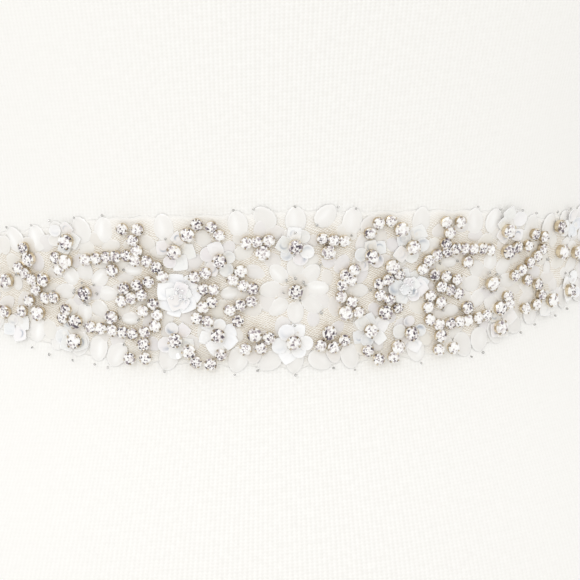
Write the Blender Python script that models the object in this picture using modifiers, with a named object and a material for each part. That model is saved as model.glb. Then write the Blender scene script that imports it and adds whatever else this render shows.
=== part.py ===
"""A beaded bridal sash on a limbless, jersey-covered dress form.

The sash is a net panel with raised petals, claw-set stones and sequin florets
across the front, and two satin ribbons that run round to hooks and eyes at the
centre back. The form stands on its flat base: the origin is the middle of that
base, +Z is up, the front faces -Y and the wearer's left is +X.

Places on the sash are given in millimetres in the band's own frame: u runs
round the waist from the centre front, towards +X, and v runs up from the
band's middle line. Everything else is in metres.
"""

import math
from collections import namedtuple

import bmesh
import bpy
from mathutils import Vector
from mathutils.geometry import delaunay_2d_cdt

MM = 0.001

# ---------------------------------------------------------------- dress form

Section = namedtuple("Section", "height half_width half_depth shift")

# Horizontal sections of the torso, from the cut base up to the neck. Shift
# moves a section back (+) for the seat or forward (-) for the bust.
FORM_SECTIONS = (
    Section(0.000, 0.161, 0.110, 0.008),
    Section(0.060, 0.169, 0.116, 0.012),
    Section(0.110, 0.166, 0.114, 0.011),
    Section(0.160, 0.148, 0.103, 0.006),
    Section(0.200, 0.128, 0.091, 0.002),
    Section(0.235, 0.120, 0.0875, 0.000),
    Section(0.275, 0.126, 0.093, -0.001),
    Section(0.330, 0.141, 0.106, -0.005),
    Section(0.380, 0.150, 0.115, -0.011),
    Section(0.420, 0.153, 0.115, -0.012),
    Section(0.465, 0.157, 0.103, -0.006),
    Section(0.515, 0.166, 0.090, 0.002),
    Section(0.555, 0.169, 0.080, 0.005),
    Section(0.582, 0.157, 0.071, 0.006),
    Section(0.602, 0.124, 0.063, 0.006),
    Section(0.622, 0.082, 0.057, 0.004),
    Section(0.645, 0.059, 0.054, 0.001),
    Section(0.670, 0.0545, 0.0525, -0.001),
    Section(0.692, 0.053, 0.051, -0.002),
    Section(0.700, 0.047, 0.045, -0.002),
)
WAIST_HEIGHT = 0.235
FORM_SEGMENTS = 48
RING_STEP_WAIST = 0.0085
RING_STEP = 0.030
WAIST_REACH = 0.030
SLOPE_STEP = 0.001
WAIST_ARC_STEPS = 720

# -------------------------------------------------------------------- cloth

WALL = 0.0010
CLEARANCE = 0.0006
SEAM_GAP = 0.0004

# The panel's half height at each place round the waist, in millimetres.
PanelEdge = namedtuple("PanelEdge", "u half_height")
PANEL_EDGES = (
    PanelEdge(0.0, 25.2),
    PanelEdge(30.0, 23.6),
    PanelEdge(50.0, 22.8),
    PanelEdge(68.0, 20.2),
    PanelEdge(84.0, 17.2),
    PanelEdge(100.0, 15.4),
    PanelEdge(130.0, 14.8),
    PanelEdge(158.0, 14.4),
    PanelEdge(168.0, 12.6),
    PanelEdge(176.0, 8.4),
    PanelEdge(180.0, 4.0),
    PanelEdge(181.5, 0.0),
)
SCALLOP_PITCH = 9.0
SCALLOP_DEPTH = 1.8
SCALLOP_POINTS = 4
SCALLOP_MIDDLE = 0.6
SCALLOP_FADE_HEIGHT = 10.0
TIP_ROOM = 0.6
GROUND_STEP = 8.0
GROUND_EDGE_SHARE = 0.35
GROUND_BEAD_ROOM = 0.8
MERGE_DISTANCE = 1e-4

# Both ends of the sash ride a little higher than its middle. The rise starts
# nearer the front on the wearer's left.
END_RISE = 4.0
LEFT_RISE = (80.0, 104.0)
RIGHT_RISE = (125.0, 161.0)

# On the wearer's left the lower edge is also drawn up a little beside the
# middle, between these places, and more the lower a point is.
TUCK = 2.6
TUCK_FROM = (58.0, 76.0)
TUCK_TO = (84.0, 104.0)
TUCK_DEPTHS = (0.0, 17.0)

RIBBON_HALF_WIDTH = 12.5
RIBBON_START = 163.0
RIBBON_RISE = (148.0, 160.0)
RIBBON_STEP = 7.0
RIBBON_ROWS = 4
BACK_GAP = 4.0

# ------------------------------------------------------------------ beadwork
# Everything off the centre line is sewn again, mirrored, on the other side.

Flower = namedtuple("Flower", "u v petals ring length width stone")
FLOWERS = (
    Flower(0.0, 0.0, 8, 6.3, 5.4, 3.9, 4.3),
    Flower(63.5, -1.4, 8, 6.1, 5.2, 3.8, 4.3),
    Flower(103.5, 0.0, 6, 5.8, 5.2, 3.8, 4.3),
    Flower(134.0, 0.0, 6, 5.4, 5.0, 3.6, 4.3),
    Flower(163.0, 0.0, 6, 5.0, 4.6, 3.4, 3.9),
)

# A floret is a ring of cupped sequins with a stone in the middle.
Floret = namedtuple("Floret", "u v reach stone")
FLORETS = (
    Floret(0.0, 13.4, 5.2, 4.3),
    Floret(0.0, -15.2, 5.2, 4.3),
    Floret(22.6, 9.6, 5.0, 4.2),
    Floret(23.0, -13.4, 5.0, 4.2),
    Floret(35.4, 12.0, 5.2, 4.3),
    Floret(35.4, -14.6, 5.2, 4.3),
    Floret(34.6, -1.4, 5.4, 0.0),
    Floret(118.5, 8.4, 4.2, 3.4),
    Floret(118.5, -8.4, 4.2, 3.4),
    Floret(148.5, 7.6, 4.0, 3.4),
    Floret(148.5, -7.6, 4.0, 3.4),
)

# A scroll is a run of stones along an arc, stepping in and out by the stagger.
Scroll = namedtuple("Scroll", "u v radius start end stones stagger")
SCROLLS = (
    Scroll(20.5, -1.2, 6.8, 122.0, 245.0, 8, 1.6),
    Scroll(33.6, -1.5, 7.7, 122.0, 238.0, 7, 1.3),
    Scroll(27.4, 14.6, 5.6, 155.0, 35.0, 4, 0.0),
    Scroll(26.5, -17.0, 5.2, 205.0, 335.0, 4, 0.0),
    Scroll(47.0, 4.9, 5.0, 75.0, 178.0, 4, 0.9),
    Scroll(46.0, -8.0, 5.0, 140.0, 250.0, 4, 0.9),
    Scroll(80.3, 6.4, 4.9, 65.0, -50.0, 4, 0.0),
    Scroll(80.0, -5.2, 4.6, 55.0, -95.0, 4, 0.0),
    Scroll(122.5, 0.0, 6.0, 115.0, 245.0, 6, 1.0),
    Scroll(152.5, 0.0, 5.2, 120.0, 240.0, 5, 0.8),
)

Row = namedtuple("Row", "u v end_u end_v stones diameter")
ROWS = (
    Row(51.2, 10.3, 62.4, 9.3, 4, 3.1),
    Row(44.2, 2.2, 51.2, 0.5, 3, 3.1),
    Row(45.0, -1.6, 51.7, -3.7, 3, 3.1),
    Row(49.0, -13.0, 61.0, -11.2, 4, 3.1),
    Row(47.6, 15.2, 47.3, 12.0, 2, 3.1),
    Row(46.4, 19.0, 51.0, 19.1, 2, 3.8),
    Row(44.0, -20.2, 48.7, -20.0, 2, 3.8),
)

Stone = namedtuple("Stone", "u v diameter")
STONES = (
    Stone(8.0, 15.3, 3.1),
    Stone(11.7, 16.4, 3.1),
    Stone(15.0, 14.6, 3.1),
    Stone(10.2, 11.6, 3.5),
    Stone(11.0, -12.9, 3.5),
    Stone(7.8, -16.2, 3.1),
    Stone(14.3, -16.2, 3.1),
    Stone(10.9, -17.9, 3.1),
    Stone(44.6, -16.0, 3.1),
    Stone(54.2, 6.2, 3.1),
    Stone(55.0, -8.0, 3.1),
    Stone(69.4, 13.6, 4.2),
    Stone(71.2, 8.2, 4.2),
    Stone(74.8, 6.0, 3.1),
    Stone(72.2, -9.2, 3.1),
    Stone(66.9, -11.0, 4.0),
    Stone(67.2, -16.0, 4.2),
    Stone(77.0, 1.4, 4.0),
    Stone(74.6, -2.8, 3.1),
    Stone(91.0, 0.4, 4.2),
    Stone(91.4, -9.0, 3.8),
    Stone(91.6, 9.6, 3.8),
)

Petal = namedtuple("Petal", "u v length width turn")
PETALS = (
    Petal(19.6, -1.0, 5.2, 3.8, 0.0),
    Petal(48.4, 6.0, 4.6, 2.8, 0.0),
    Petal(49.4, -8.6, 4.8, 3.6, 0.0),
    Petal(56.8, 16.0, 5.4, 3.6, 60.0),
    Petal(58.0, -16.8, 5.4, 3.6, -60.0),
    Petal(76.4, 11.6, 5.0, 3.4, 50.0),
    Petal(74.6, -13.0, 5.0, 3.4, -50.0),
    Petal(86.8, 0.2, 4.6, 3.2, 90.0),
    Petal(95.4, 5.0, 4.6, 3.2, 40.0),
    Petal(95.4, -4.8, 4.6, 3.2, -40.0),
)

EDGE_PETAL_LENGTH = 7.2
EDGE_PETAL_WIDTH = 5.0
EDGE_PETAL_LEAN = 38.0
EDGE_PETAL_INSET = 0.9
EDGE_PETAL_LAST = 176.0

SMALL_STONE = 3.1
LARGE_STONE = 4.3
FIVE_SIDES_UP_TO = 3.6
STONE_HEIGHT = 0.0024
STONE_TOP = 0.78
PETAL_HEIGHT = 0.0012
PETAL_SIZES = (1.0, 0.9, 0.8, 0.7, 0.6)
PETAL_SIDES = 6
PETAL_BELLY = 0.43
PETAL_TIP = 0.2
PETAL_RIDGE = 0.45
FLORET_SIDES = 8
FLORET_HEIGHT = 0.0008
FLORET_TOP = 0.86
FLORET_RIM = 0.2
BEAD_GAP = 0.35
EDGE_MARGIN = 0.3

# ------------------------------------------------------------ hooks and eyes

WIRE_RADIUS = 0.0004
HOOK_PLACES = {"upper": 6.0, "lower": -6.0}
SEWN_LOOP_RADIUS = 1.3
SEWN_LOOP_AT = 7.5
HOOK_NOSE = 1.2
HOOK_BILL_END = -3.0
BILL_LIFT = 0.0024
SHANK_BEND = 2.5
EYE_HALF_WIDTH = 2.2
EYE_TIP = 0.8
EYE_BEND = 5.0
SEAT_GAP = 0.0003
WIRE_OUT = CLEARANCE + WALL + SEAT_GAP + WIRE_RADIUS

# ----------------------------------------------------------------- materials

Finish = namedtuple("Finish", "colour roughness metallic")
FINISHES = {
    "jersey": Finish((0.92, 0.91, 0.88), 0.85, 0.0),
    "net": Finish((0.86, 0.82, 0.74), 0.6, 0.0),
    "satin": Finish((0.93, 0.90, 0.84), 0.3, 0.0),
    "wire": Finish((0.75, 0.74, 0.72), 0.25, 1.0),
}


def clear_scene():
    for item in list(bpy.data.objects):
        bpy.data.objects.remove(item, do_unlink=True)


def make_material(name):
    finish = FINISHES[name]
    material = bpy.data.materials.new(name)
    material.use_nodes = True
    shader = material.node_tree.nodes["Principled BSDF"]
    shader.inputs["Base Color"].default_value = (*finish.colour, 1.0)
    shader.inputs["Roughness"].default_value = finish.roughness
    shader.inputs["Metallic"].default_value = finish.metallic
    return material


# ------------------------------------------------------------ smooth tables

def table_bends(places, values):
    """Second slopes of the smoothest curve through a table, flat at both ends."""
    last = len(places) - 1
    shares = [0.0]
    loads = [0.0]
    for i in range(1, last):
        before = places[i] - places[i - 1]
        after = places[i + 1] - places[i]
        turn = (values[i + 1] - values[i]) / after - (values[i] - values[i - 1]) / before
        pivot = 2.0 * (before + after) - before * shares[-1]
        loads.append((6.0 * turn - before * loads[-1]) / pivot)
        shares.append(after / pivot)
    bends = [0.0] * (last + 1)
    for i in range(last - 1, 0, -1):
        bends[i] = loads[i] - shares[i] * bends[i + 1]
    return bends


def table_curve(places, values):
    """A function that reads the table as one smooth curve."""
    bends = table_bends(places, values)

    def value_at(place):
        place = min(max(place, places[0]), places[-1])
        row = max(i for i in range(len(places) - 1) if places[i] <= place)
        span = places[row + 1] - places[row]
        before = (places[row + 1] - place) / span
        after = 1.0 - before
        sway = (before ** 3 - before) * bends[row] + (after ** 3 - after) * bends[row + 1]
        return before * values[row] + after * values[row + 1] + sway * span * span / 6.0

    return value_at


def column(table, name):
    return [getattr(row, name) for row in table]


form_heights = column(FORM_SECTIONS, "height")
half_width_at = table_curve(form_heights, column(FORM_SECTIONS, "half_width"))
half_depth_at = table_curve(form_heights, column(FORM_SECTIONS, "half_depth"))
shift_at = table_curve(form_heights, column(FORM_SECTIONS, "shift"))
panel_half_height_at = table_curve(column(PANEL_EDGES, "u"), column(PANEL_EDGES, "half_height"))


# ------------------------------------------------------- the form's surface

def form_point(angle, height):
    x = half_width_at(height) * math.sin(angle)
    y = shift_at(height) - half_depth_at(height) * math.cos(angle)
    return Vector((x, y, height))


def form_normal(angle, height):
    around = form_point(angle + SLOPE_STEP, height) - form_point(angle - SLOPE_STEP, height)
    upward = form_point(angle, height + SLOPE_STEP) - form_point(angle, height - SLOPE_STEP)
    return around.cross(upward).normalized()


def waist_arc_table():
    """Distance round the waist, in millimetres, at even steps of angle up to the centre back."""
    lengths = [0.0]
    for i in range(WAIST_ARC_STEPS):
        here = form_point(math.pi * i / WAIST_ARC_STEPS, WAIST_HEIGHT)
        there = form_point(math.pi * (i + 1) / WAIST_ARC_STEPS, WAIST_HEIGHT)
        lengths.append(lengths[-1] + (there - here).length / MM)
    return lengths


WAIST_ARC = waist_arc_table()
HALF_WAIST = WAIST_ARC[-1]


def angle_at(u):
    """The angle round the waist at u; it may run past the centre back."""
    distance = abs(u)
    past_back = distance > HALF_WAIST
    if past_back:
        distance = 2.0 * HALF_WAIST - distance
    row = min(int(distance / HALF_WAIST * WAIST_ARC_STEPS), WAIST_ARC_STEPS - 1)
    while WAIST_ARC[row] > distance:
        row -= 1
    while WAIST_ARC[row + 1] < distance:
        row += 1
    part = (distance - WAIST_ARC[row]) / (WAIST_ARC[row + 1] - WAIST_ARC[row])
    angle = math.pi * (row + part) / WAIST_ARC_STEPS
    if past_back:
        angle = 2.0 * math.pi - angle
    return math.copysign(angle, u)


def ease(place, start, end):
    """0 up to the start, 1 from the end on, and a smooth step between them."""
    t = min(max((place - start) / (end - start), 0.0), 1.0)
    return (3.0 - 2.0 * t) * t * t


def rise_at(u):
    """How far the band's middle line is above the waist at u."""
    return END_RISE * ease(abs(u), *(LEFT_RISE if u > 0.0 else RIGHT_RISE))


def tuck_at(u, v):
    """How far a point is drawn up with the lower edge on the wearer's left."""
    along = ease(u, *TUCK_FROM) * (1.0 - ease(u, *TUCK_TO))
    return TUCK * along * ease(-v, *TUCK_DEPTHS)


def worn_point(u, v, out):
    """A point on the band, lifted off the form by out."""
    angle = angle_at(u)
    height = WAIST_HEIGHT + (v + rise_at(u) + tuck_at(u, v)) * MM
    return form_point(angle, height) + form_normal(angle, height) * out


# ------------------------------------------------------------------ objects

def add_mesh(name, points, faces, material, collection):
    mesh = bpy.data.meshes.new(name)
    mesh.from_pydata(points, [], faces)
    mesh.materials.append(material)
    mesh.update()
    made = bpy.data.objects.new(name, mesh)
    collection.objects.link(made)
    return made


def form_ring_heights():
    """Close rings where the sash lies, wider ones above and below it."""
    heights = [row.height for row in FORM_SECTIONS if abs(row.height - WAIST_HEIGHT) > WAIST_REACH]
    count = round(2.0 * WAIST_REACH / RING_STEP_WAIST)
    lowest = WAIST_HEIGHT - WAIST_REACH
    heights += [lowest + 2.0 * WAIST_REACH * i / count for i in range(count + 1)]
    heights.sort()
    filled = [heights[0]]
    for height in heights[1:]:
        pieces = math.ceil((height - filled[-1]) / RING_STEP)
        start = filled[-1]
        filled += [start + (height - start) * (i + 1) / pieces for i in range(pieces)]
    return filled


def make_dress_form(material, collection):
    heights = form_ring_heights()
    points = []
    for height in heights:
        for i in range(FORM_SEGMENTS):
            points.append(form_point(2.0 * math.pi * i / FORM_SEGMENTS, height))
    faces = [list(range(FORM_SEGMENTS))[::-1]]
    for ring in range(len(heights) - 1):
        for i in range(FORM_SEGMENTS):
            j = (i + 1) % FORM_SEGMENTS
            low = ring * FORM_SEGMENTS
            high = low + FORM_SEGMENTS
            faces.append([low + i, low + j, high + j, high + i])
    top = (len(heights) - 1) * FORM_SEGMENTS
    faces.append([top + i for i in range(FORM_SEGMENTS)])
    return add_mesh("dress_form", points, faces, material, collection)


# ------------------------------------------------------------- beaded panel

def panel_edge_at(u):
    """Half height with the scallops, which fade out on the round ends."""
    half_height = panel_half_height_at(abs(u))
    scallop = abs(math.sin(math.pi * (u / SCALLOP_PITCH + 0.5))) - SCALLOP_MIDDLE
    fade = min(1.0, half_height / SCALLOP_FADE_HEIGHT)
    return max(half_height + SCALLOP_DEPTH * scallop * fade, 0.0)


def panel_outline():
    """The panel's edge in the band's frame, anticlockwise from the right tip."""
    tip = PANEL_EDGES[-1].u
    step = SCALLOP_PITCH / SCALLOP_POINTS
    count = int(tip / step)
    stations = [step * i for i in range(count + 1) if step * i < tip - TIP_ROOM]
    half = [-u for u in reversed(stations[1:])] + stations
    upper = [(u, panel_edge_at(u)) for u in reversed(half)]
    lower = [(u, -panel_edge_at(u)) for u in half]
    return [(tip, 0.0)] + upper + [(-tip, 0.0)] + lower


def panel_base(u):
    """How far the panel's inside is off the form: more where a ribbon lies under it."""
    return CLEARANCE + ease(abs(u), *RIBBON_RISE) * (WALL + SEAM_GAP)


Bead = namedtuple("Bead", "rings ridge circles")


def ring_points(u, v, length, width, turn, sides, lift):
    cos_turn = math.cos(math.radians(turn))
    sin_turn = math.sin(math.radians(turn))
    ring = []
    for i in range(sides):
        angle = 2.0 * math.pi * i / sides
        along = 0.5 * length * math.cos(angle)
        across = 0.5 * width * math.sin(angle)
        ring_u = u + along * cos_turn - across * sin_turn
        ring_v = v + along * sin_turn + across * cos_turn
        ring.append((ring_u, ring_v, lift))
    return ring


def stone_bead(u, v, diameter, base=0.0):
    """A claw-set stone: a short tapering peg."""
    sides = 5 if diameter <= FIVE_SIDES_UP_TO else 6
    height = STONE_HEIGHT * diameter / LARGE_STONE
    table_width = diameter * STONE_TOP
    foot = ring_points(u, v, diameter, diameter, 0.0, sides, base)
    table = ring_points(u, v, table_width, table_width, 0.0, sides, base + height)
    return Bead([foot, table], [], [(u, v, 0.5 * diameter)])


def petal_bead(petal, size):
    """A petal: six-sided at its foot, with a short ridge."""
    length = petal.length * size
    width = petal.width * size
    foot = ring_points(petal.u, petal.v, length, width, petal.turn, PETAL_SIDES, 0.0)
    centre = Vector((petal.u, petal.v))
    ends = [centre.lerp(Vector(foot[i][:2]), PETAL_RIDGE) for i in (0, PETAL_SIDES // 2)]
    ridge = [(end.x, end.y, PETAL_HEIGHT) for end in ends]
    direction = Vector((math.cos(math.radians(petal.turn)), math.sin(math.radians(petal.turn))))
    tip = 0.5 * length - PETAL_TIP * width
    circles = []
    for along in (-tip, -0.25 * length, 0.0, 0.25 * length, tip):
        share = PETAL_TIP if abs(along) == tip else PETAL_BELLY
        place = centre + direction * along
        circles.append((place.x, place.y, share * width))
    return Bead([foot], ridge, circles)


def floret_bead(u, v, reach, diameter):
    """A low pad of sequins, with its stone standing on it."""
    width = 2.0 * reach
    top_width = width * FLORET_TOP
    foot = ring_points(u, v, width, width, 0.0, FLORET_SIDES, 0.0)
    top = ring_points(u, v, top_width, top_width, 0.0, FLORET_SIDES, FLORET_HEIGHT)
    rings = [foot, top]
    if diameter:
        rings += stone_bead(u, v, diameter, FLORET_HEIGHT).rings
    return Bead(rings, [], [(u, v, reach)])


def clearance_to(beads, circles):
    """The smallest gap between these circles and the beads already sewn on."""
    gaps = [
        math.hypot(u - other_u, v - other_v) - radius - other_radius
        for bead in beads
        for other_u, other_v, other_radius in bead.circles
        for u, v, radius in circles
    ]
    return min(gaps, default=math.inf)


def inside_panel(circles):
    tip = PANEL_EDGES[-1].u
    for u, v, radius in circles:
        if abs(u) + radius > tip - EDGE_MARGIN:
            return False
        edges = [panel_edge_at(u + radius * part) for part in (-1.0, -0.5, 0.0, 0.5, 1.0)]
        if abs(v) + radius > min(edges) - EDGE_MARGIN:
            return False
    return True


def is_clear(beads, bead):
    return inside_panel(bead.circles) and clearance_to(beads, bead.circles) >= BEAD_GAP


def add_stone(beads, u, v, diameter):
    bead = stone_bead(u, v, diameter)
    if is_clear(beads, bead):
        beads.append(bead)


def add_petal(beads, petal):
    """Sew on the largest size of this petal that has room."""
    for size in PETAL_SIZES:
        bead = petal_bead(petal, size)
        if is_clear(beads, bead):
            beads.append(bead)
            return


def sides_of(u):
    """Both sides of the panel, or only the middle for a piece on the centre line."""
    return (1.0,) if u == 0.0 else (1.0, -1.0)


def scroll_places(scroll):
    for i in range(scroll.stones):
        angle = math.radians(scroll.start + (scroll.end - scroll.start) * i / (scroll.stones - 1))
        radius = scroll.radius + scroll.stagger * (1.0 if i % 2 else -1.0)
        yield scroll.u + radius * math.cos(angle), scroll.v + radius * math.sin(angle)


def row_places(row):
    for i in range(row.stones):
        part = i / (row.stones - 1)
        yield row.u + (row.end_u - row.u) * part, row.v + (row.end_v - row.v) * part


def stone_places():
    """Every claw-set stone outside the flowers and florets, on the right half."""
    for stone in STONES:
        yield stone.u, stone.v, stone.diameter
    for row in ROWS:
        for u, v in row_places(row):
            yield u, v, row.diameter
    for scroll in SCROLLS:
        for u, v in scroll_places(scroll):
            yield u, v, SMALL_STONE


def edge_petals():
    """Petals that lean along both edges, one for each scallop."""
    for i in range(int(EDGE_PETAL_LAST / SCALLOP_PITCH)):
        u = SCALLOP_PITCH * i
        lean = 0.0 if i % 2 == 0 else EDGE_PETAL_LEAN
        drop = 0.5 * EDGE_PETAL_LENGTH * math.cos(math.radians(lean)) + EDGE_PETAL_INSET
        for upper in (1.0, -1.0):
            v = upper * (panel_edge_at(u) - drop)
            yield Petal(u, v, EDGE_PETAL_LENGTH, EDGE_PETAL_WIDTH, upper * (90.0 - lean))


def sew_beads():
    beads = []
    for flower in FLOWERS:
        for side in sides_of(flower.u):
            beads.append(stone_bead(side * flower.u, flower.v, flower.stone))
    for u, v, diameter in stone_places():
        for side in sides_of(u):
            add_stone(beads, side * u, v, diameter)
    for flower in FLOWERS:
        for side in sides_of(flower.u):
            for i in range(flower.petals):
                turn = 360.0 * i / flower.petals + 90.0
                u = side * flower.u + flower.ring * math.cos(math.radians(turn))
                v = flower.v + flower.ring * math.sin(math.radians(turn))
                add_petal(beads, Petal(u, v, flower.length, flower.width, turn))
    for floret in FLORETS:
        for side in sides_of(floret.u):
            u = side * floret.u
            room = clearance_to(beads, [(u, floret.v, 0.0)]) - BEAD_GAP
            reach = min(floret.reach, room)
            if reach > 0.5 * floret.stone / FLORET_TOP + FLORET_RIM:
                beads.append(floret_bead(u, floret.v, reach, floret.stone))
    for petal in list(PETALS) + list(edge_petals()):
        for side in sides_of(petal.u):
            turn = petal.turn if side > 0.0 else 180.0 - petal.turn
            add_petal(beads, petal._replace(u=side * petal.u, turn=turn))
    return beads


def ground_places(beads):
    """Plain points of the cloth between the beads."""
    places = []
    step = GROUND_STEP
    columns = int(PANEL_EDGES[-1].u / step)
    for i in range(-columns, columns + 1):
        u = i * step
        rows = int(panel_edge_at(u) / step)
        for j in range(-rows, rows + 1):
            v = j * step
            if abs(v) > panel_edge_at(u) - GROUND_EDGE_SHARE * step:
                continue
            if clearance_to(beads, [(u, v, 0.0)]) > GROUND_BEAD_ROOM:
                places.append((u, v, 0.0))
    return places


def triangulate(outline, beads):
    """Triangles over the panel that follow its edge and every bead's rings."""
    points = [(u, v, 0.0) for u, v in outline]
    edges = [(i, (i + 1) % len(outline)) for i in range(len(outline))]
    for bead in beads:
        for ring in bead.rings:
            first = len(points)
            points += ring
            edges += [(first + i, first + (i + 1) % len(ring)) for i in range(len(ring))]
        if bead.ridge:
            first = len(points)
            points += bead.ridge
            edges.append((first, first + 1))
    points += ground_places(beads)
    flat = [Vector((u, v)) for u, v, lift in points]
    made, _, faces, origins, _, _ = delaunay_2d_cdt(flat, edges, [], 1, MERGE_DISTANCE)
    if len(made) != len(points):
        raise RuntimeError("beads cross: %d points became %d" % (len(points), len(made)))
    lifts = {i: points[origins[i][0]] for i in range(len(made))}
    order = {origins[i][0]: i for i in range(len(made))}
    rim = [order[i] for i in range(len(outline))]
    return [lifts[i] for i in range(len(made))], faces, rim


def make_beaded_panel(material, collection):
    outline = panel_outline()
    outer, outer_faces, outer_rim = triangulate(outline, sew_beads())
    inner, inner_faces, inner_rim = triangulate(outline, [])
    points = [worn_point(u, v, panel_base(u) + WALL + lift) for u, v, lift in outer]
    points += [worn_point(u, v, panel_base(u)) for u, v, _ in inner]
    first_inner = len(outer)
    faces = [list(face) for face in outer_faces]
    faces += [[first_inner + i for i in reversed(face)] for face in inner_faces]
    for i in range(len(outline)):
        j = (i + 1) % len(outline)
        faces.append([outer_rim[j], outer_rim[i], first_inner + inner_rim[i], first_inner + inner_rim[j]])
    panel = add_mesh("beaded_panel", points, faces, material, collection)
    face_outwards(panel)
    return panel


def face_outwards(item):
    """Turn every face of a closed wall the right way out."""
    shape = bmesh.new()
    shape.from_mesh(item.data)
    bmesh.ops.recalc_face_normals(shape, faces=shape.faces)
    shape.to_mesh(item.data)
    shape.free()


# ------------------------------------------------------------------ ribbons

def make_ribbon(name, side, material, collection):
    """One ribbon as an open strip, thickened outwards."""
    end = HALF_WAIST - 0.5 * BACK_GAP
    columns = math.ceil((end - RIBBON_START) / RIBBON_STEP)
    rows = RIBBON_ROWS
    points = []
    for i in range(columns + 1):
        u = side * (RIBBON_START + (end - RIBBON_START) * i / columns)
        for j in range(rows + 1):
            v = RIBBON_HALF_WIDTH * (2.0 * j / rows - 1.0)
            points.append(worn_point(u, v, CLEARANCE))
    faces = []
    for i in range(columns):
        for j in range(rows):
            corner = i * (rows + 1) + j
            face = [corner, corner + rows + 1, corner + rows + 2, corner + 1]
            faces.append(face if side > 0.0 else face[::-1])
    ribbon = add_mesh(name, points, faces, material, collection)
    wall = ribbon.modifiers.new("wall", "SOLIDIFY")
    wall.thickness = WALL
    wall.offset = 1.0
    return ribbon


# ----------------------------------------------------------- hooks and eyes

def back_point(across, v, out):
    """A point at the centre back: across is measured from the seam, + on the left ribbon."""
    return worn_point(HALF_WAIST - across, v, out)


def arc(centre_across, centre_v, radius, start, end, steps):
    for i in range(steps + 1):
        angle = math.radians(start + (end - start) * i / steps)
        yield centre_across + radius * math.cos(angle), centre_v + radius * math.sin(angle)


def make_wire(name, path, material, collection):
    curve = bpy.data.curves.new(name, "CURVE")
    curve.dimensions = "3D"
    curve.bevel_depth = WIRE_RADIUS
    curve.bevel_resolution = 1
    curve.use_fill_caps = True
    curve.materials.append(material)
    spline = curve.splines.new("POLY")
    spline.points.add(len(path) - 1)
    for point, place in zip(spline.points, path):
        point.co = (*place, 1.0)
    made = bpy.data.objects.new(name, curve)
    collection.objects.link(made)
    return made


def make_hook(place, material, collection):
    """A wire hook on the right ribbon: sewn loop, shank across the seam, bill turned back over."""
    v = HOOK_PLACES[place]
    loop_v = v + SEWN_LOOP_RADIUS
    path = [back_point(across, high, WIRE_OUT)
            for across, high in arc(-SEWN_LOOP_AT, loop_v, SEWN_LOOP_RADIUS, 10.0, 270.0, 9)]
    path += [back_point(across, v, WIRE_OUT) for across in (-2.0 * SHANK_BEND, -SHANK_BEND, 0.0)]
    turn_radius = 0.5 * BILL_LIFT
    nose = HOOK_NOSE - turn_radius / MM
    for i in range(7):
        angle = math.radians(-90.0 + 30.0 * i)
        across = nose + turn_radius / MM * math.cos(angle)
        path.append(back_point(across, v, WIRE_OUT + turn_radius * (1.0 + math.sin(angle))))
    path.append(back_point(HOOK_BILL_END, v, WIRE_OUT + BILL_LIFT))
    return make_wire("hook_" + place, path, material, collection)


def make_eye(place, material, collection):
    """A wire eye on the left ribbon: two sewn loops and a bow that the hook's bill holds."""
    v = HOOK_PLACES[place]
    bow_out = WIRE_OUT + 0.5 * BILL_LIFT
    foot_v = EYE_HALF_WIDTH + SEWN_LOOP_RADIUS
    foot = list(arc(SEWN_LOOP_AT, foot_v, SEWN_LOOP_RADIUS, 170.0, -90.0, 9))
    bow_centre = EYE_TIP + EYE_HALF_WIDTH - HOOK_NOSE
    bow = list(arc(bow_centre, 0.0, EYE_HALF_WIDTH, 90.0, 270.0, 8))
    path = [back_point(across, v + high, WIRE_OUT) for across, high in foot]
    path.append(back_point(EYE_BEND, v + EYE_HALF_WIDTH, WIRE_OUT))
    path += [back_point(across, v + high, bow_out) for across, high in bow]
    path.append(back_point(EYE_BEND, v - EYE_HALF_WIDTH, WIRE_OUT))
    path += [back_point(across, v - high, WIRE_OUT) for across, high in reversed(foot)]
    return make_wire("eye_" + place, path, material, collection)


# --------------------------------------------------------------------- build

clear_scene()
sash = bpy.data.collections.new("bridal_sash")
bpy.context.scene.collection.children.link(sash)
materials = {name: make_material(name) for name in FINISHES}

make_dress_form(materials["jersey"], sash)
make_beaded_panel(materials["net"], sash)
make_ribbon("ribbon_left", 1.0, materials["satin"], sash)
make_ribbon("ribbon_right", -1.0, materials["satin"], sash)
for hook_place in HOOK_PLACES:
    make_hook(hook_place, materials["wire"], sash)
    make_eye(hook_place, materials["wire"], sash)
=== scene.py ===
"""The looks of a beaded bridal sash on a limbless, jersey-covered dress form.

Metres, +Z up, the front towards -Y and the wearer's left towards +X. Places on
the sash are in millimetres in the band's own frame, as in the part's source:
u runs round the waist from the centre front towards +X, v up from its middle.
"""

import math
import random
from collections import namedtuple

import bmesh
import bpy
from mathutils import Matrix, Vector


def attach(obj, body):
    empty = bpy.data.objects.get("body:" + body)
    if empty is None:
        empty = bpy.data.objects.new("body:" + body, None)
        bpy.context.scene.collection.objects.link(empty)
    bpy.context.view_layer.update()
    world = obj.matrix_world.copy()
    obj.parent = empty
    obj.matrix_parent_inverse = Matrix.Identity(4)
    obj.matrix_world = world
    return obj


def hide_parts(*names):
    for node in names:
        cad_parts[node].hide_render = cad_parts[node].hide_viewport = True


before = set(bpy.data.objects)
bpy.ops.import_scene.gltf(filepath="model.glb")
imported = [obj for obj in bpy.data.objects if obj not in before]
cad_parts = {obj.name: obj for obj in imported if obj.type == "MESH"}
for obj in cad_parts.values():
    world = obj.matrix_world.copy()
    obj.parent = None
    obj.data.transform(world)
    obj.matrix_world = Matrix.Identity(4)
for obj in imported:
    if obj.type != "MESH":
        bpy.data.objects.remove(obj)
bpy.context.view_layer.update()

# ============================================================ the dress form
# A limbless torso of moulded foam under a tight tube of white cotton jersey.
# The jersey is knitted on a fixed number of needles, so its wales spread where
# the form is wide and close up at the waist. It is pulled on and glued under.

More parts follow.
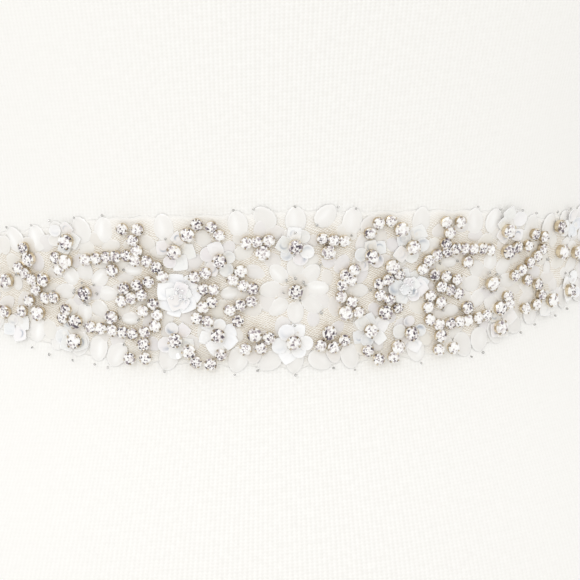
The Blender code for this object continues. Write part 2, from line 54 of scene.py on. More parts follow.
Section = namedtuple("Section", "height half_width half_depth shift")
FORM_SECTIONS = (
    Section(0.000, 0.161, 0.110, 0.008),
    Section(0.060, 0.169, 0.116, 0.012),
    Section(0.110, 0.166, 0.114, 0.011),
    Section(0.160, 0.148, 0.103, 0.006),
    Section(0.200, 0.128, 0.091, 0.002),
    Section(0.235, 0.120, 0.0875, 0.000),
    Section(0.275, 0.126, 0.093, -0.001),
    Section(0.330, 0.141, 0.106, -0.005),
    Section(0.380, 0.150, 0.115, -0.011),
    Section(0.420, 0.153, 0.115, -0.012),
    Section(0.465, 0.157, 0.103, -0.006),
    Section(0.515, 0.166, 0.090, 0.002),
    Section(0.555, 0.169, 0.080, 0.005),
    Section(0.582, 0.157, 0.071, 0.006),
    Section(0.602, 0.124, 0.063, 0.006),
    Section(0.622, 0.082, 0.057, 0.004),
    Section(0.645, 0.059, 0.054, 0.001),
    Section(0.670, 0.0545, 0.0525, -0.001),
    Section(0.692, 0.053, 0.051, -0.002),
    Section(0.700, 0.047, 0.045, -0.002),
)
WAIST_HEIGHT = 0.235
SLOPE_STEP = 0.001
FORM_SEGMENTS = 240
FORM_RINGS = 150
RIM_ROUNDING = 0.003
RIM_STEPS = 6
WALES = 640
COURSE = 0.00106
SPIRAL = 57  # courses climbed in one turn, since the tube is knitted round
RIBS_FADE_OVER = 0.45
FAR_RELIEF = 0.25
LEG_LEAN = 2.4
LEG_SHOWS = 0.22
WALE_SHOWS = 0.34
YARN_UNEVEN = 1.4
JERSEY_LIGHT = (0.962, 0.954, 0.934)
JERSEY_DARK = (0.896, 0.884, 0.856)


def table_bends(places, values):
    """Second slopes of the smoothest curve through a table, flat at both ends."""
    last = len(places) - 1
    shares = [0.0]
    loads = [0.0]
    for i in range(1, last):
        before = places[i] - places[i - 1]
        after = places[i + 1] - places[i]
        turn = (values[i + 1] - values[i]) / after - (values[i] - values[i - 1]) / before
        pivot = 2.0 * (before + after) - before * shares[-1]
        loads.append((6.0 * turn - before * loads[-1]) / pivot)
        shares.append(after / pivot)
    bends = [0.0] * (last + 1)
    for i in range(last - 1, 0, -1):
        bends[i] = loads[i] - shares[i] * bends[i + 1]
    return bends


def table_curve(table, place_name, value_name):
    """A function that reads one column of a table as a smooth curve."""
    places = [getattr(row, place_name) for row in table]
    values = [getattr(row, value_name) for row in table]
    bends = table_bends(places, values)

    def value_at(place):
        place = min(max(place, places[0]), places[-1])
        row = max(i for i in range(len(places) - 1) if places[i] <= place)
        span = places[row + 1] - places[row]
        before = (places[row + 1] - place) / span
        after = 1.0 - before
        sway = (before ** 3 - before) * bends[row] + (after ** 3 - after) * bends[row + 1]
        return before * values[row] + after * values[row + 1] + sway * span * span / 6.0

    return value_at


half_width_at = table_curve(FORM_SECTIONS, "height", "half_width")
half_depth_at = table_curve(FORM_SECTIONS, "height", "half_depth")
shift_at = table_curve(FORM_SECTIONS, "height", "shift")


def form_point(angle, height, inset=0.0):
    """A point on the form, or inset from its skin, at an angle from the front."""
    x = (half_width_at(height) - inset) * math.sin(angle)
    y = shift_at(height) - (half_depth_at(height) - inset) * math.cos(angle)
    return Vector((x, y, height))


def form_normal(angle, height):
    around = form_point(angle + SLOPE_STEP, height) - form_point(angle - SLOPE_STEP, height)
    upward = form_point(angle, height + SLOPE_STEP) - form_point(angle, height - SLOPE_STEP)
    return around.cross(upward).normalized()


def add_node(tree, kind, inputs=(), **settings):
    """A node with its settings made and its inputs joined or filled in."""
    node = tree.nodes.new(kind)
    for name, value in settings.items():
        setattr(node, name, value)
    for socket, value in dict(inputs).items():
        if isinstance(value, bpy.types.NodeSocket):
            tree.links.new(value, node.inputs[socket])
        else:
            node.inputs[socket].default_value = value
    return node


def calculate(tree, operation, *values):
    return add_node(tree, "ShaderNodeMath", dict(enumerate(values)), operation=operation).outputs[0]


def times(tree, value, by):
    return calculate(tree, "MULTIPLY", value, by)


def scaled(tree, value, by, plus):
    return calculate(tree, "MULTIPLY_ADD", value, by, plus)


def uneven_by(tree, value, reach):
    """A value that runs from 0 to 1, spread to either side of 0."""
    return scaled(tree, value, reach, -0.5 * reach)


def noise(tree, place, scale, detail):
    inputs = {"Vector": place, "Scale": scale, "Detail": detail}
    return add_node(tree, "ShaderNodeTexNoise", inputs).outputs[0]


def uv_place(tree, name):
    return add_node(tree, "ShaderNodeUVMap", uv_map=name).outputs[0]


def parts_of(tree, place):
    return add_node(tree, "ShaderNodeSeparateXYZ", {0: place}).outputs


def stored(tree, name):
    """A value that the mesh carries under this name."""
    return add_node(tree, "ShaderNodeAttribute", attribute_name=name).outputs["Fac"]


def tone_between(tree, part, start, end):
    """A colour between two, as part goes from 0 to 1. Either may come from another node."""
    ends = [tone if isinstance(tone, bpy.types.NodeSocket) else (*tone, 1.0) for tone in (start, end)]
    inputs = {0: part, 6: ends[0], 7: ends[1]}
    return add_node(tree, "ShaderNodeMix", inputs, data_type="RGBA").outputs[2]


def new_finish(name, constants):
    """A material with its node tree. The constants are by the names of the shader's own sockets."""
    finish = bpy.data.materials.new(name)
    finish.use_nodes = True
    for socket, value in constants.items():
        finish.node_tree.nodes["Principled BSDF"].inputs[socket].default_value = value
    return finish, finish.node_tree


def paint(finish, colour):
    tree = finish.node_tree
    tree.links.new(colour, tree.nodes["Principled BSDF"].inputs["Base Color"])


def emboss(finish, height, strength, distance):
    tree = finish.node_tree
    bump = add_node(tree, "ShaderNodeBump", {"Strength": strength, "Distance": distance, "Height": height})
    tree.links.new(bump.outputs[0], tree.nodes["Principled BSDF"].inputs["Normal"])


def knit_finish():
    """Jersey: columns of small leaning stitches, counted by the UV map in wales and courses."""
    finish, tree = new_finish("white_cotton_jersey", {"Roughness": 0.85})
    uv = uv_place(tree, "stitches")
    count = parts_of(tree, uv)
    round_wale = times(tree, count[0], 2.0 * math.pi)
    round_course = times(tree, count[1], 2.0 * math.pi)
    wale = calculate(tree, "COSINE", round_wale)
    across = calculate(tree, "SINE", times(tree, round_wale, 0.5))
    lean = calculate(tree, "ABSOLUTE", across)
    leg = calculate(tree, "SINE", scaled(tree, lean, LEG_LEAN, round_course))
    stitch = scaled(tree, wale, WALE_SHOWS, scaled(tree, leg, LEG_SHOWS, 0.5))
    cloudy = uneven_by(tree, noise(tree, uv, scale=0.6, detail=4.0), YARN_UNEVEN)
    relief = stored(tree, "relief")
    uneven = calculate(tree, "SUBTRACT", calculate(tree, "ADD", stitch, cloudy), 0.5)
    tone = scaled(tree, uneven, relief, 0.5)
    paint(finish, tone_between(tree, tone, JERSEY_DARK, JERSEY_LIGHT))
    emboss(finish, times(tree, stitch, relief), strength=0.35, distance=0.0002)
    return finish


def add_piece(name, points, faces, finish):
    """A finished piece on the one rigid body. Its faces are given pointing outwards."""
    mesh = bpy.data.meshes.new(name)
    mesh.from_pydata(points, [], faces)
    mesh.materials.append(finish)
    return join_piece(bpy.data.objects.new(name, mesh))


def join_piece(made, smooth=True):
    """Puts a piece on the body. Flat ends, with more than four corners, stay crisp."""
    for polygon in made.data.polygons:
        polygon.use_smooth = smooth and len(polygon.vertices) <= 4
    bpy.context.scene.collection.objects.link(made)
    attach(made, "root")
    return made


def lay_uv(piece, name, corners_of_faces):
    layer = piece.data.uv_layers.new(name=name)
    places = [place for corners in corners_of_faces for place in corners]
    for corner, place in enumerate(places):
        layer.uv[corner].vector = place


def mark(piece, name, values):
    """Stores a value at each point of a mesh, for its finish to read."""
    layer = piece.data.attributes.new(name, "FLOAT", "POINT")
    layer.data.foreach_set("value", values)


def ring_faces(rings, sides, first=0, closed_round=False):
    """Faces through rings of points, capped at both ends or joined end to end."""
    top = first + (rings - 1) * sides
    faces = [] if closed_round else [[first + i for i in range(sides)][::-1]]
    for ring in range(rings if closed_round else rings - 1):
        low = first + ring * sides
        high = first + (ring + 1) % rings * sides
        for i in range(sides):
            j = (i + 1) % sides
            faces.append([low + i, low + j, high + j, high + i])
    return faces if closed_round else faces + [[top + i for i in range(sides)]]


def ring_heights():
    """Even rings, with close ones where the lower and upper rims are rounded."""
    top = FORM_SECTIONS[-1].height
    even = [top * i / FORM_RINGS for i in range(1, FORM_RINGS)]
    inner = [height for height in even if RIM_ROUNDING < height < top - RIM_ROUNDING]
    turns = [math.radians(90.0 * i / RIM_STEPS) for i in range(RIM_STEPS + 1)]
    arcs = [RIM_ROUNDING * (1.0 - math.cos(turn)) for turn in turns]
    return arcs + inner + [top - height for height in reversed(arcs)]


def rim_inset(height):
    """How far a ring is drawn in by the rounding of the nearer rim."""
    depth = min(height, FORM_SECTIONS[-1].height - height)
    if depth >= RIM_ROUNDING:
        return 0.0
    return RIM_ROUNDING - math.sqrt(RIM_ROUNDING ** 2 - (RIM_ROUNDING - depth) ** 2)


def stitch_count(segment, height):
    """Wales from the centre front and courses from the base."""
    return WALES * segment / FORM_SEGMENTS, height / COURSE - SPIRAL * segment / FORM_SEGMENTS


def relief_at(segment):
    """How deep the stitches show: fully at the front, and fainter behind."""
    turn = math.remainder(2.0 * math.pi * segment / FORM_SEGMENTS, 2.0 * math.pi) / RIBS_FADE_OVER
    return FAR_RELIEF + (1.0 - FAR_RELIEF) * math.exp(-turn * turn)


def make_jersey_cover():
    heights = ring_heights()
    points = []
    for height in heights:
        for i in range(FORM_SEGMENTS):
            angle = 2.0 * math.pi * i / FORM_SEGMENTS
            points.append(form_point(angle, height, rim_inset(height)))
    counts = []
    for low, high in zip(heights, heights[1:]):
        for i in range(FORM_SEGMENTS):
            corners = ((i, low), (i + 1, low), (i + 1, high), (i, high))
            counts.append([stitch_count(segment, height) for segment, height in corners])
    flat_end = [[(0.0, 0.0)] * FORM_SEGMENTS]
    faces = ring_faces(len(heights), FORM_SEGMENTS)
    cover = add_piece("jersey_cover", points, faces, knit_finish())
    lay_uv(cover, "stitches", flat_end + counts + flat_end)
    mark(cover, "relief", [relief_at(i) for i in range(len(points))])
    return cover


jersey_cover = make_jersey_cover()
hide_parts("dress_form")

# ============================================================= the net panel
# The ground of the sash is a doubled strip of ivory net, cut in shallow
# scallops that end just inside the tips of the edge petals. It is stretched
# round the front, and its two round ends are sewn down over the ribbons.

PanelEdge = namedtuple("PanelEdge", "u half_height")
PANEL_EDGES = (
    PanelEdge(0.0, 25.2),
    PanelEdge(30.0, 23.6),
    PanelEdge(50.0, 22.8),
    PanelEdge(68.0, 20.2),
    PanelEdge(84.0, 17.2),
    PanelEdge(100.0, 15.4),
    PanelEdge(130.0, 14.8),
    PanelEdge(158.0, 14.4),
    PanelEdge(168.0, 12.6),
    PanelEdge(176.0, 8.4),
    PanelEdge(180.0, 4.0),
    PanelEdge(181.5, 0.0),
)
MM = 0.001
CLEARANCE = 0.0006
WALL = 0.0010
SEAM_GAP = 0.0004
END_RISE = 4.0
LEFT_RISE = (80.0, 104.0)
RIGHT_RISE = (125.0, 161.0)
TUCK = 2.6
TUCK_FROM = (58.0, 76.0)
TUCK_TO = (84.0, 104.0)
TUCK_DEPTHS = (0.0, 17.0)
RIBBON_RISE = (148.0, 160.0)
WAIST_ARC_STEPS = 720
SCALLOP_PITCH = 8.7
SCALLOP_DEPTH = 0.9
SCALLOP_MIDDLE = 0.6
NET_LIFT = 0.0002
NET_THICKNESS = 0.0002
NET_TRIM = 1.2
NET_COLUMNS = 300
NET_ROWS = 36
NET_PUCKER = 0.00012
PUCKER_ALONG = (0.83, 0.40)
PUCKER_ACROSS = (-0.25, 0.71)
MESH_PITCH = 0.72
MESH_SLANTS = (0.45, -0.75)
MESH_DRIFT = 1.6
THREAD_SHOWS = 0.36
THREAD_GLINTS = 1.6
NET_LIGHT = (0.985, 0.965, 0.922)
NET_DARK = (0.690, 0.622, 0.525)
NET_EDGE = (0.955, 0.940, 0.910)
EDGE_FADE = 6.0
EDGE_DROP = 0.00072
panel_half_height_at = table_curve(PANEL_EDGES, "u", "half_height")


def waist_arc_table():
    """Distance round the waist, in millimetres, at even steps of angle up to the centre back."""
    lengths = [0.0]
    for i in range(WAIST_ARC_STEPS):
        here, there = (form_point(math.pi * step / WAIST_ARC_STEPS, WAIST_HEIGHT) for step in (i, i + 1))
        lengths.append(lengths[-1] + (there - here).length / MM)
    return lengths


WAIST_ARC = waist_arc_table()
HALF_WAIST = WAIST_ARC[-1]


def angle_at(u):
    """The angle round the waist at u; it may run past the centre back."""
    distance = abs(u)
    past_back = distance > HALF_WAIST
    if past_back:
        distance = 2.0 * HALF_WAIST - distance
    row = min(int(distance / HALF_WAIST * WAIST_ARC_STEPS), WAIST_ARC_STEPS - 1)
    while WAIST_ARC[row] > distance:
        row -= 1
    while WAIST_ARC[row + 1] < distance:
        row += 1
    part = (distance - WAIST_ARC[row]) / (WAIST_ARC[row + 1] - WAIST_ARC[row])
    angle = math.pi * (row + part) / WAIST_ARC_STEPS
    if past_back:
        angle = 2.0 * math.pi - angle
    return math.copysign(angle, u)


def ease(place, start, end):
    """0 up to the start, 1 from the end on, and a smooth step between them."""
    t = min(max((place - start) / (end - start), 0.0), 1.0)
    return (3.0 - 2.0 * t) * t * t


def rise_at(u):
    """How far the band's middle line is above the waist at u."""
    return END_RISE * ease(abs(u), *(LEFT_RISE if u > 0.0 else RIGHT_RISE))


def tuck_at(u, v):
    """How far the lower edge is drawn up on the wearer's left."""
    along = ease(u, *TUCK_FROM) * (1.0 - ease(u, *TUCK_TO))
    return TUCK * along * ease(-v, *TUCK_DEPTHS)


def worn_point(u, v, out):
    """A point on the band, lifted off the form by out."""
    angle = angle_at(u)
    height = WAIST_HEIGHT + (v + rise_at(u) + tuck_at(u, v)) * MM
    return form_point(angle, height) + form_normal(angle, height) * out


def panel_base(u):
    """How far the panel's inside is off the form: more where a ribbon lies under it."""
    return CLEARANCE + ease(abs(u), *RIBBON_RISE) * (WALL + SEAM_GAP)


def net_edge_at(u):
    scallop = abs(math.sin(math.pi * (u / SCALLOP_PITCH + 0.5))) - SCALLOP_MIDDLE
    trimmed = panel_half_height_at(abs(u)) - NET_TRIM
    return max(trimmed + SCALLOP_DEPTH * scallop, 0.0)


def net_finish():
    """Ivory net over itself: two sets of slanting threads that cross in a fine, uneven mesh."""
    finish, tree = new_finish("ivory_net", {"Roughness": 0.7})
    uv = uv_place(tree, "band")
    drift = add_node(tree, "ShaderNodeTexNoise", {"Vector": uv, "Scale": 0.25, "Detail": 2.0})
    bent = add_node(tree, "ShaderNodeVectorMath", {0: drift.outputs["Color"], 3: MESH_DRIFT},
                    operation="SCALE")
    shifted = add_node(tree, "ShaderNodeVectorMath", {0: uv, 1: bent.outputs[0]}, operation="ADD")
    place = parts_of(tree, shifted.outputs[0])
    threads = []
    for slant in MESH_SLANTS:
        along = scaled(tree, place[0], slant, place[1])
        threads.append(calculate(tree, "SINE", times(tree, along, 2.0 * math.pi / MESH_PITCH)))
    weave = scaled(tree, calculate(tree, "ADD", *threads), THREAD_SHOWS, 0.5)
    glints = uneven_by(tree, noise(tree, uv, scale=2.2, detail=1.0), THREAD_GLINTS)
    uneven = calculate(tree, "ADD", noise(tree, uv, scale=0.3, detail=3.0), glints)
    tone = calculate(tree, "ADD", weave, calculate(tree, "SUBTRACT", uneven, 0.5))
    colour = tone_between(tree, tone, NET_DARK, NET_LIGHT)
    paint(finish, tone_between(tree, stored(tree, "inside"), NET_EDGE, colour))
    emboss(finish, weave, strength=0.4, distance=0.0001)
    return finish


def make_strip(name, stations, rows, edge_at, lift_at, finish):
    """An open strip of cloth on the band, with a UV map in the band's own millimetres."""
    points = []
    places = []
    for u in stations:
        for j in range(rows + 1):
            v = edge_at(u) * (2.0 * j / rows - 1.0)
            places.append((u, v))
            points.append(worn_point(u, v, lift_at(u, v)))
    faces = []
    for i in range(len(stations) - 1):
        for j in range(rows):
            corner = i * (rows + 1) + j
            faces.append([corner, corner + rows + 1, corner + rows + 2, corner + 1])
    strip = add_piece(name, points, faces, finish)
    lay_uv(strip, "band", [[places[i] for i in face] for face in faces])
    return strip


def thicken(piece, thickness):
    wall = piece.modifiers.new("wall", "SOLIDIFY")
    wall.thickness = thickness
    wall.offset = 1.0
    wall.use_even_offset = False


def net_lift(u, v):
    """The net lies just off the jersey, puckers between its stitches and settles at its edges."""
    along = math.sin(PUCKER_ALONG[0] * u + PUCKER_ALONG[1] * v)
    across = math.sin(PUCKER_ACROSS[0] * u + PUCKER_ACROSS[1] * v)
    settled = 1.0 - ease(net_edge_at(u) - abs(v), 0.0, EDGE_FADE)
    return panel_base(u) + NET_LIFT + NET_PUCKER * (along * across) - EDGE_DROP * settled


def inside_at(corner):
    """0 on the net's edge, and 1 from where it begins to settle."""
    column, row = divmod(corner, NET_ROWS + 1)
    room = net_edge_at(net_stations[column]) * (1.0 - abs(2.0 * row / NET_ROWS - 1.0))
    return min(room / EDGE_FADE, 1.0)


net_reach = PANEL_EDGES[-1].u - NET_TRIM
net_turns = [math.pi * (i / NET_COLUMNS - 0.5) for i in range(NET_COLUMNS + 1)]
net_stations = [net_reach * math.sin(turn) for turn in net_turns]
net_panel = make_strip("net_panel", net_stations, NET_ROWS, net_edge_at, net_lift, net_finish())
mark(net_panel, "inside", [inside_at(i) for i in range(len(net_panel.data.vertices))])
thicken(net_panel, NET_THICKNESS)
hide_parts("beaded_panel")
net_area = sum((net_edge_at(east) + net_edge_at(west)) * (east - west)
               for west, east in zip(net_stations, net_stations[1:])) * MM * MM

# =============================================================== the ribbons
# Two lengths of ivory satin ribbon run from under the panel's ends round to
# the centre back, where each is turned under in a narrow hem.

RIBBON_HALF_WIDTH = 12.5
RIBBON_START = 163.0
BACK_GAP = 4.0
RIBBON_COLUMNS = 110
RIBBON_ROWS = 20
RIBBON_LIFT = CLEARANCE + 0.0001
SATIN_THICKNESS = 0.0005
SELVEDGE = 0.7
SELVEDGE_RISE = 0.00012
HEM = 6.0
HEM_RISE = 0.00035
HEM_SHARPNESS = 4.0
TROUGHS_FROM = 185.0
TROUGHS_STOP_SHORT = 10.0
TROUGH_DEPTH = 0.00018
TROUGH_WAVE = (0.21, 0.09, 0.6)
RIB_PITCH = 0.45
RIB_SHOWS = 0.12
STREAK_STRETCH = (0.15, 2.5, 1.0)
SELVEDGE_DULLER = -0.25
SATIN_LIGHT = (0.900, 0.868, 0.800)
SATIN_DARK = (0.830, 0.790, 0.712)
ribbon_end = HALF_WAIST - 0.5 * BACK_GAP


def satin_finish():
    """Satin: fine ribs across, painted sheen in long streaks, and a selvedge painted darker as a duller
    sheen.
    """
    finish, tree = new_finish("ivory_satin", {"Roughness": 0.32, "Sheen Weight": 0.3, "Anisotropic": 0.5})
    uv = uv_place(tree, "band")
    place = parts_of(tree, uv)
    ribs = calculate(tree, "SINE", times(tree, place[0], 2.0 * math.pi / RIB_PITCH))
    stretched = add_node(tree, "ShaderNodeMapping", {"Vector": uv, "Scale": STREAK_STRETCH})
    # Painted sheen: long soft streaks along the ribbon.
    streaks = noise(tree, stretched.outputs[0], scale=1.0, detail=3.0)
    across = calculate(tree, "ABSOLUTE", place[1])
    edge = calculate(tree, "GREATER_THAN", across, RIBBON_HALF_WIDTH - SELVEDGE)
    tone = scaled(tree, ribs, RIB_SHOWS, scaled(tree, edge, SELVEDGE_DULLER, streaks))
    paint(finish, tone_between(tree, tone, SATIN_DARK, SATIN_LIGHT))
    emboss(finish, tone, strength=0.25, distance=0.0001)
    return finish


def ribbon_lift(u, v):
    """Flat on the form, with a bound selvedge, a double hem at the back and soft cross troughs."""
    lift = RIBBON_LIFT
    if abs(v) > RIBBON_HALF_WIDTH - SELVEDGE:
        lift += SELVEDGE_RISE
    lift += HEM_RISE / (1.0 + math.exp(HEM_SHARPNESS * (ribbon_end - abs(u) - HEM)))
    troughs_length = ribbon_end - (TROUGHS_FROM + TROUGHS_STOP_SHORT)
    part = min(max((abs(u) - TROUGHS_FROM) / troughs_length, 0.0), 1.0)
    along, across, start = TROUGH_WAVE
    trough = 0.5 + 0.5 * math.sin(along * abs(u) + across * v + start)
    return lift - TROUGH_DEPTH * math.sin(math.pi * part) * trough


satin = satin_finish()
ribbon_span = ribbon_end - RIBBON_START
for name, side in (("ribbon_left", 1.0), ("ribbon_right", -1.0)):
    ribbon_stations = sorted(side * (RIBBON_START + ribbon_span * i / RIBBON_COLUMNS)
                             for i in range(RIBBON_COLUMNS + 1))
    ribbon = make_strip("satin_" + name, ribbon_stations, RIBBON_ROWS, lambda u: RIBBON_HALF_WIDTH,
                        ribbon_lift, satin)
    thicken(ribbon, SATIN_THICKNESS)
    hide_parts(name)

# ============================================================== the petals
# Milky pressed petals, domed and a little longer than wide, in flowers down
# the middle and leaning along both edges. Each is sewn through its two ends.

NET_TOP = NET_LIFT + NET_THICKNESS
HAND = random.Random(11)
Sewn = namedtuple("Sewn", "u v out turn tilt size tint")
STRAYS = 0.25
TWISTS = 5.0

sewing = bpy.data.node_groups.new("sew_on", "GeometryNodeTree")
sewing.interface.new_socket("Places", in_out="INPUT", socket_type="NodeSocketGeometry")
BEAD_IN = sewing.interface.new_socket("Bead", in_out="INPUT", socket_type="NodeSocketObject")
FINISH_IN = sewing.interface.new_socket("Finish", in_out="INPUT", socket_type="NodeSocketMaterial")
SEED_IN = sewing.interface.new_socket("Facet seed", in_out="INPUT", socket_type="NodeSocketInt")
sewing.interface.new_socket("Sewn", in_out="OUTPUT", socket_type="NodeSocketGeometry")
given = sewing.nodes.new("NodeGroupInput").outputs
bead_shape = add_node(sewing, "GeometryNodeObjectInfo", {"Object": given["Bead"]})
turns = add_node(sewing, "GeometryNodeInputNamedAttribute", {"Name": "turn"}, data_type="FLOAT_VECTOR")
facing = add_node(sewing, "FunctionNodeEulerToRotation", {0: turns.outputs[0]})
sizes = add_node(sewing, "GeometryNodeInputNamedAttribute", {"Name": "size"}, data_type="FLOAT_VECTOR")
copies = add_node(sewing, "GeometryNodeInstanceOnPoints", {
    "Points": given["Places"], "Instance": bead_shape.outputs["Geometry"],
    "Rotation": facing.outputs[0], "Scale": sizes.outputs[0]})
real = add_node(sewing, "GeometryNodeRealizeInstances", {"Geometry": copies.outputs[0]})
chance = add_node(sewing, "FunctionNodeRandomValue", {"Seed": given["Facet seed"]}, data_type="FLOAT")
marked = add_node(sewing, "GeometryNodeStoreNamedAttribute", {"Geometry": real.outputs[0], "Name": "facet"},
                  data_type="FLOAT", domain="FACE")
sewing.links.new(chance.outputs[1], marked.inputs["Value"])
dressed = add_node(sewing, "GeometryNodeSetMaterial", {
    "Geometry": marked.outputs[0], "Material": given["Finish"]})
add_node(sewing, "NodeGroupOutput", {0: dressed.outputs[0]})


def astray(reach):
    """How far a hand misses its mark, either way."""
    return HAND.uniform(-reach, reach)


def seat(sewn):
    """Where a piece sits on the sash and how it faces: along the band, up it and off it."""
    out = panel_base(sewn.u) + NET_TOP + sewn.out
    place = worn_point(sewn.u, sewn.v, out)
    ahead = worn_point(sewn.u + 0.5, sewn.v, out) - worn_point(sewn.u - 0.5, sewn.v, out)
    ahead.normalize()
    off = form_normal(angle_at(sewn.u), place.z)
    up = off.cross(ahead).normalized()
    facing = Matrix((up.cross(off), up, off)).transposed()
    turned = facing @ Matrix.Rotation(math.radians(sewn.turn), 3, "Z")
    return place, turned @ Matrix.Rotation(-math.radians(sewn.tilt), 3, "Y")


def sew(name, pieces, shape, finish, seed=0, smooth=True):
    """One mesh with a copy of the shape at every place."""
    seats = [seat(piece) for piece in pieces]
    cloud = bpy.data.meshes.new("places")
    cloud.from_pydata([place for place, _ in seats], [], [])
    for label, kind in (("turn", "FLOAT_VECTOR"), ("size", "FLOAT_VECTOR"), ("tint", "FLOAT")):
        cloud.attributes.new(label, kind, "POINT")
    for i, piece in enumerate(pieces):
        cloud.attributes["turn"].data[i].vector = seats[i][1].to_euler()
        cloud.attributes["size"].data[i].vector = [length * MM for length in piece.size]
        cloud.attributes["tint"].data[i].value = piece.tint
    shape.data.materials.clear()
    shape.data.materials.append(finish)
    base = bpy.data.objects.new("places", cloud)
    bpy.context.scene.collection.objects.link(base)
    modifier = base.modifiers.new("sewing", "NODES")
    modifier.node_group = sewing
    modifier[BEAD_IN.identifier] = shape
    modifier[FINISH_IN.identifier] = finish
    modifier[SEED_IN.identifier] = seed
    whole = base.evaluated_get(bpy.context.evaluated_depsgraph_get())
    mesh = bpy.data.meshes.new_from_object(whole)
    mesh.name = name
    bpy.data.objects.remove(base)
    return join_piece(bpy.data.objects.new(name, mesh), smooth)


patterns = []


def keep_shape(mesh):
    """A pattern for beads of one kind. It is in the scene only until its beads are sewn."""
    shape = bpy.data.objects.new(mesh.name, mesh)
    bpy.context.scene.collection.objects.link(shape)
    patterns.append(shape)
    return shape


def ringed_shape(name, rings, closed_round=False):
    """A pattern through rings of points, capped at both ends or joined end to end."""
    mesh = bpy.data.meshes.new(name)
    points = [point for ring in rings for point in ring]
    mesh.from_pydata(points, [], ring_faces(len(rings), len(rings[0]), closed_round=closed_round))
    return keep_shape(mesh)


def mark_reach(shape, rings):
    """Marks each ring with how far out it is, for the finish to read."""
    count = len(shape.data.vertices) // len(rings)
    mark(shape, "reach", [share for share, _ in rings for _ in range(count)])


PETAL_POINTS = 14
PETAL_RINGS = ((1.00, 0.00), (0.985, 0.16), (0.90, 0.45), (0.70, 0.76), (0.42, 0.95), (0.14, 1.00))
PETAL_EGG = 0.12
PETAL_HEIGHT = 0.36
STREAK_ASIDE = 0.10
STREAK_WIDTH = 0.13
STREAK_LENGTH = 0.42
MILK_CLOUDS = 0.6
MILK_TINTS = 0.5
GLOSS_RARITY = 1.5
# The painted bright rim, where light catches each petal's edge.
PETAL_PAINTED_RIM = (9.0, 0.7)  # how narrow and how bright
MILK_DARK = (0.815, 0.793, 0.761)
MILK_LIGHT = (0.915, 0.901, 0.880)
PETAL_PAINTED_HIGHLIGHT = (1.0, 1.0, 0.99)


def petal_pattern(name):
    rings = []
    for share, height in PETAL_RINGS:
        ring = []
        for i in range(PETAL_POINTS):
            angle = 2.0 * math.pi * i / PETAL_POINTS
            along = 0.5 * share * math.cos(angle)
            across = 0.5 * share * math.sin(angle) * (1.0 - PETAL_EGG * math.cos(angle))
            ring.append((along, across, height))
        rings.append(ring)
    shape = ringed_shape(name, rings)
    mark_reach(shape, PETAL_RINGS)
    return shape


def streak_at(place):
    """The soft long highlight that lies beside the middle of a petal."""
    across = (place.y - STREAK_ASIDE) / STREAK_WIDTH
    along = place.x / STREAK_LENGTH
    return math.exp(-across * across) * max(1.0 - along * along, 0.0)


def petal_finish():
    """Milky and polished: cloudy, each petal a little different, with a painted highlight streak and a
    painted bright rim.
    """
    finish, tree = new_finish("milky_petal", {"Roughness": 0.22, "Coat Weight": 0.5, "Coat Roughness": 0.1})
    place = add_node(tree, "ShaderNodeTexCoord").outputs["Object"]
    tint = stored(tree, "tint")
    cloudy = times(tree, noise(tree, place, scale=260.0, detail=3.0), MILK_CLOUDS)
    tone = calculate(tree, "ADD", cloudy, times(tree, tint, MILK_TINTS))
    milk = tone_between(tree, tone, MILK_DARK, MILK_LIGHT)
    # Painted highlight: a soft streak, strongest on the palest petals, and a painted bright rim.
    gloss = times(tree, stored(tree, "streak"), calculate(tree, "POWER", tint, GLOSS_RARITY))
    rim = times(tree, calculate(tree, "POWER", stored(tree, "reach"), PETAL_PAINTED_RIM[0]), PETAL_PAINTED_RIM[1])
    bright = calculate(tree, "MAXIMUM", gloss, rim)
    paint(finish, tone_between(tree, bright, milk, PETAL_PAINTED_HIGHLIGHT))
    return finish


petal_shape = petal_pattern("petal")
mark(petal_shape, "streak", [streak_at(corner.co) for corner in petal_shape.data.vertices])

Flower = namedtuple("Flower", "u v petals ring length width stone")
FLOWERS = (
    Flower(0.0, 0.0, 8, 6.9, 7.0, 5.0, 4.4),
    Flower(62.0, -1.4, 8, 6.7, 6.8, 4.9, 4.4),
    Flower(101.1, 0.0, 6, 5.8, 6.0, 4.8, 4.4),
    Flower(134.0, 0.0, 6, 5.4, 5.6, 4.4, 4.4),
    Flower(163.0, 0.0, 6, 5.0, 5.0, 4.0, 4.0),
)
Petal = namedtuple("Petal", "u v length width turn")
PETALS = (
    Petal(19.1, -1.0, 6.0, 4.2, 0.0),
    Petal(47.3, 6.2, 5.6, 3.8, 0.0),
    Petal(48.2, -8.8, 5.6, 4.0, 0.0),
    Petal(84.8, 0.2, 5.0, 3.4, 90.0),
    Petal(93.2, 5.0, 5.0, 3.6, 40.0),
    Petal(93.2, -4.8, 5.0, 3.6, -40.0),
)
# Petals along the edges: where each stands, how far its tip leans outwards and how far in it sits.
EdgePetal = namedtuple("EdgePetal", "u lean inset", defaults=(0.0,))
TOP_PETALS = (EdgePetal(0.0, 0.0), EdgePetal(8.7, 48.0), EdgePetal(16.8, 8.0), EdgePetal(37.9, 4.0),
              EdgePetal(55.7, 0.0), EdgePetal(62.5, 20.0))
BOTTOM_PETALS = (EdgePetal(0.0, 0.0, 0.6), EdgePetal(7.4, 56.0, 1.5), EdgePetal(16.2, 14.0),
                 EdgePetal(36.3, 12.0), EdgePetal(51.4, 30.0), EdgePetal(57.4, 6.0), EdgePetal(63.5, 14.0))
EDGE_PETAL_LENGTH = 8.2
EDGE_PETAL_WIDTH = 6.0
EDGE_PETAL_PITCH = 7.4
EDGE_PETAL_SHARE = 0.75
EDGE_PETAL_OUT = -0.0003
EDGE_PETAL_TILT = -7.0
EDGE_BAND = 6.0
LOWER_HANG = 0.7
RIGHT_TUCK = 1.2
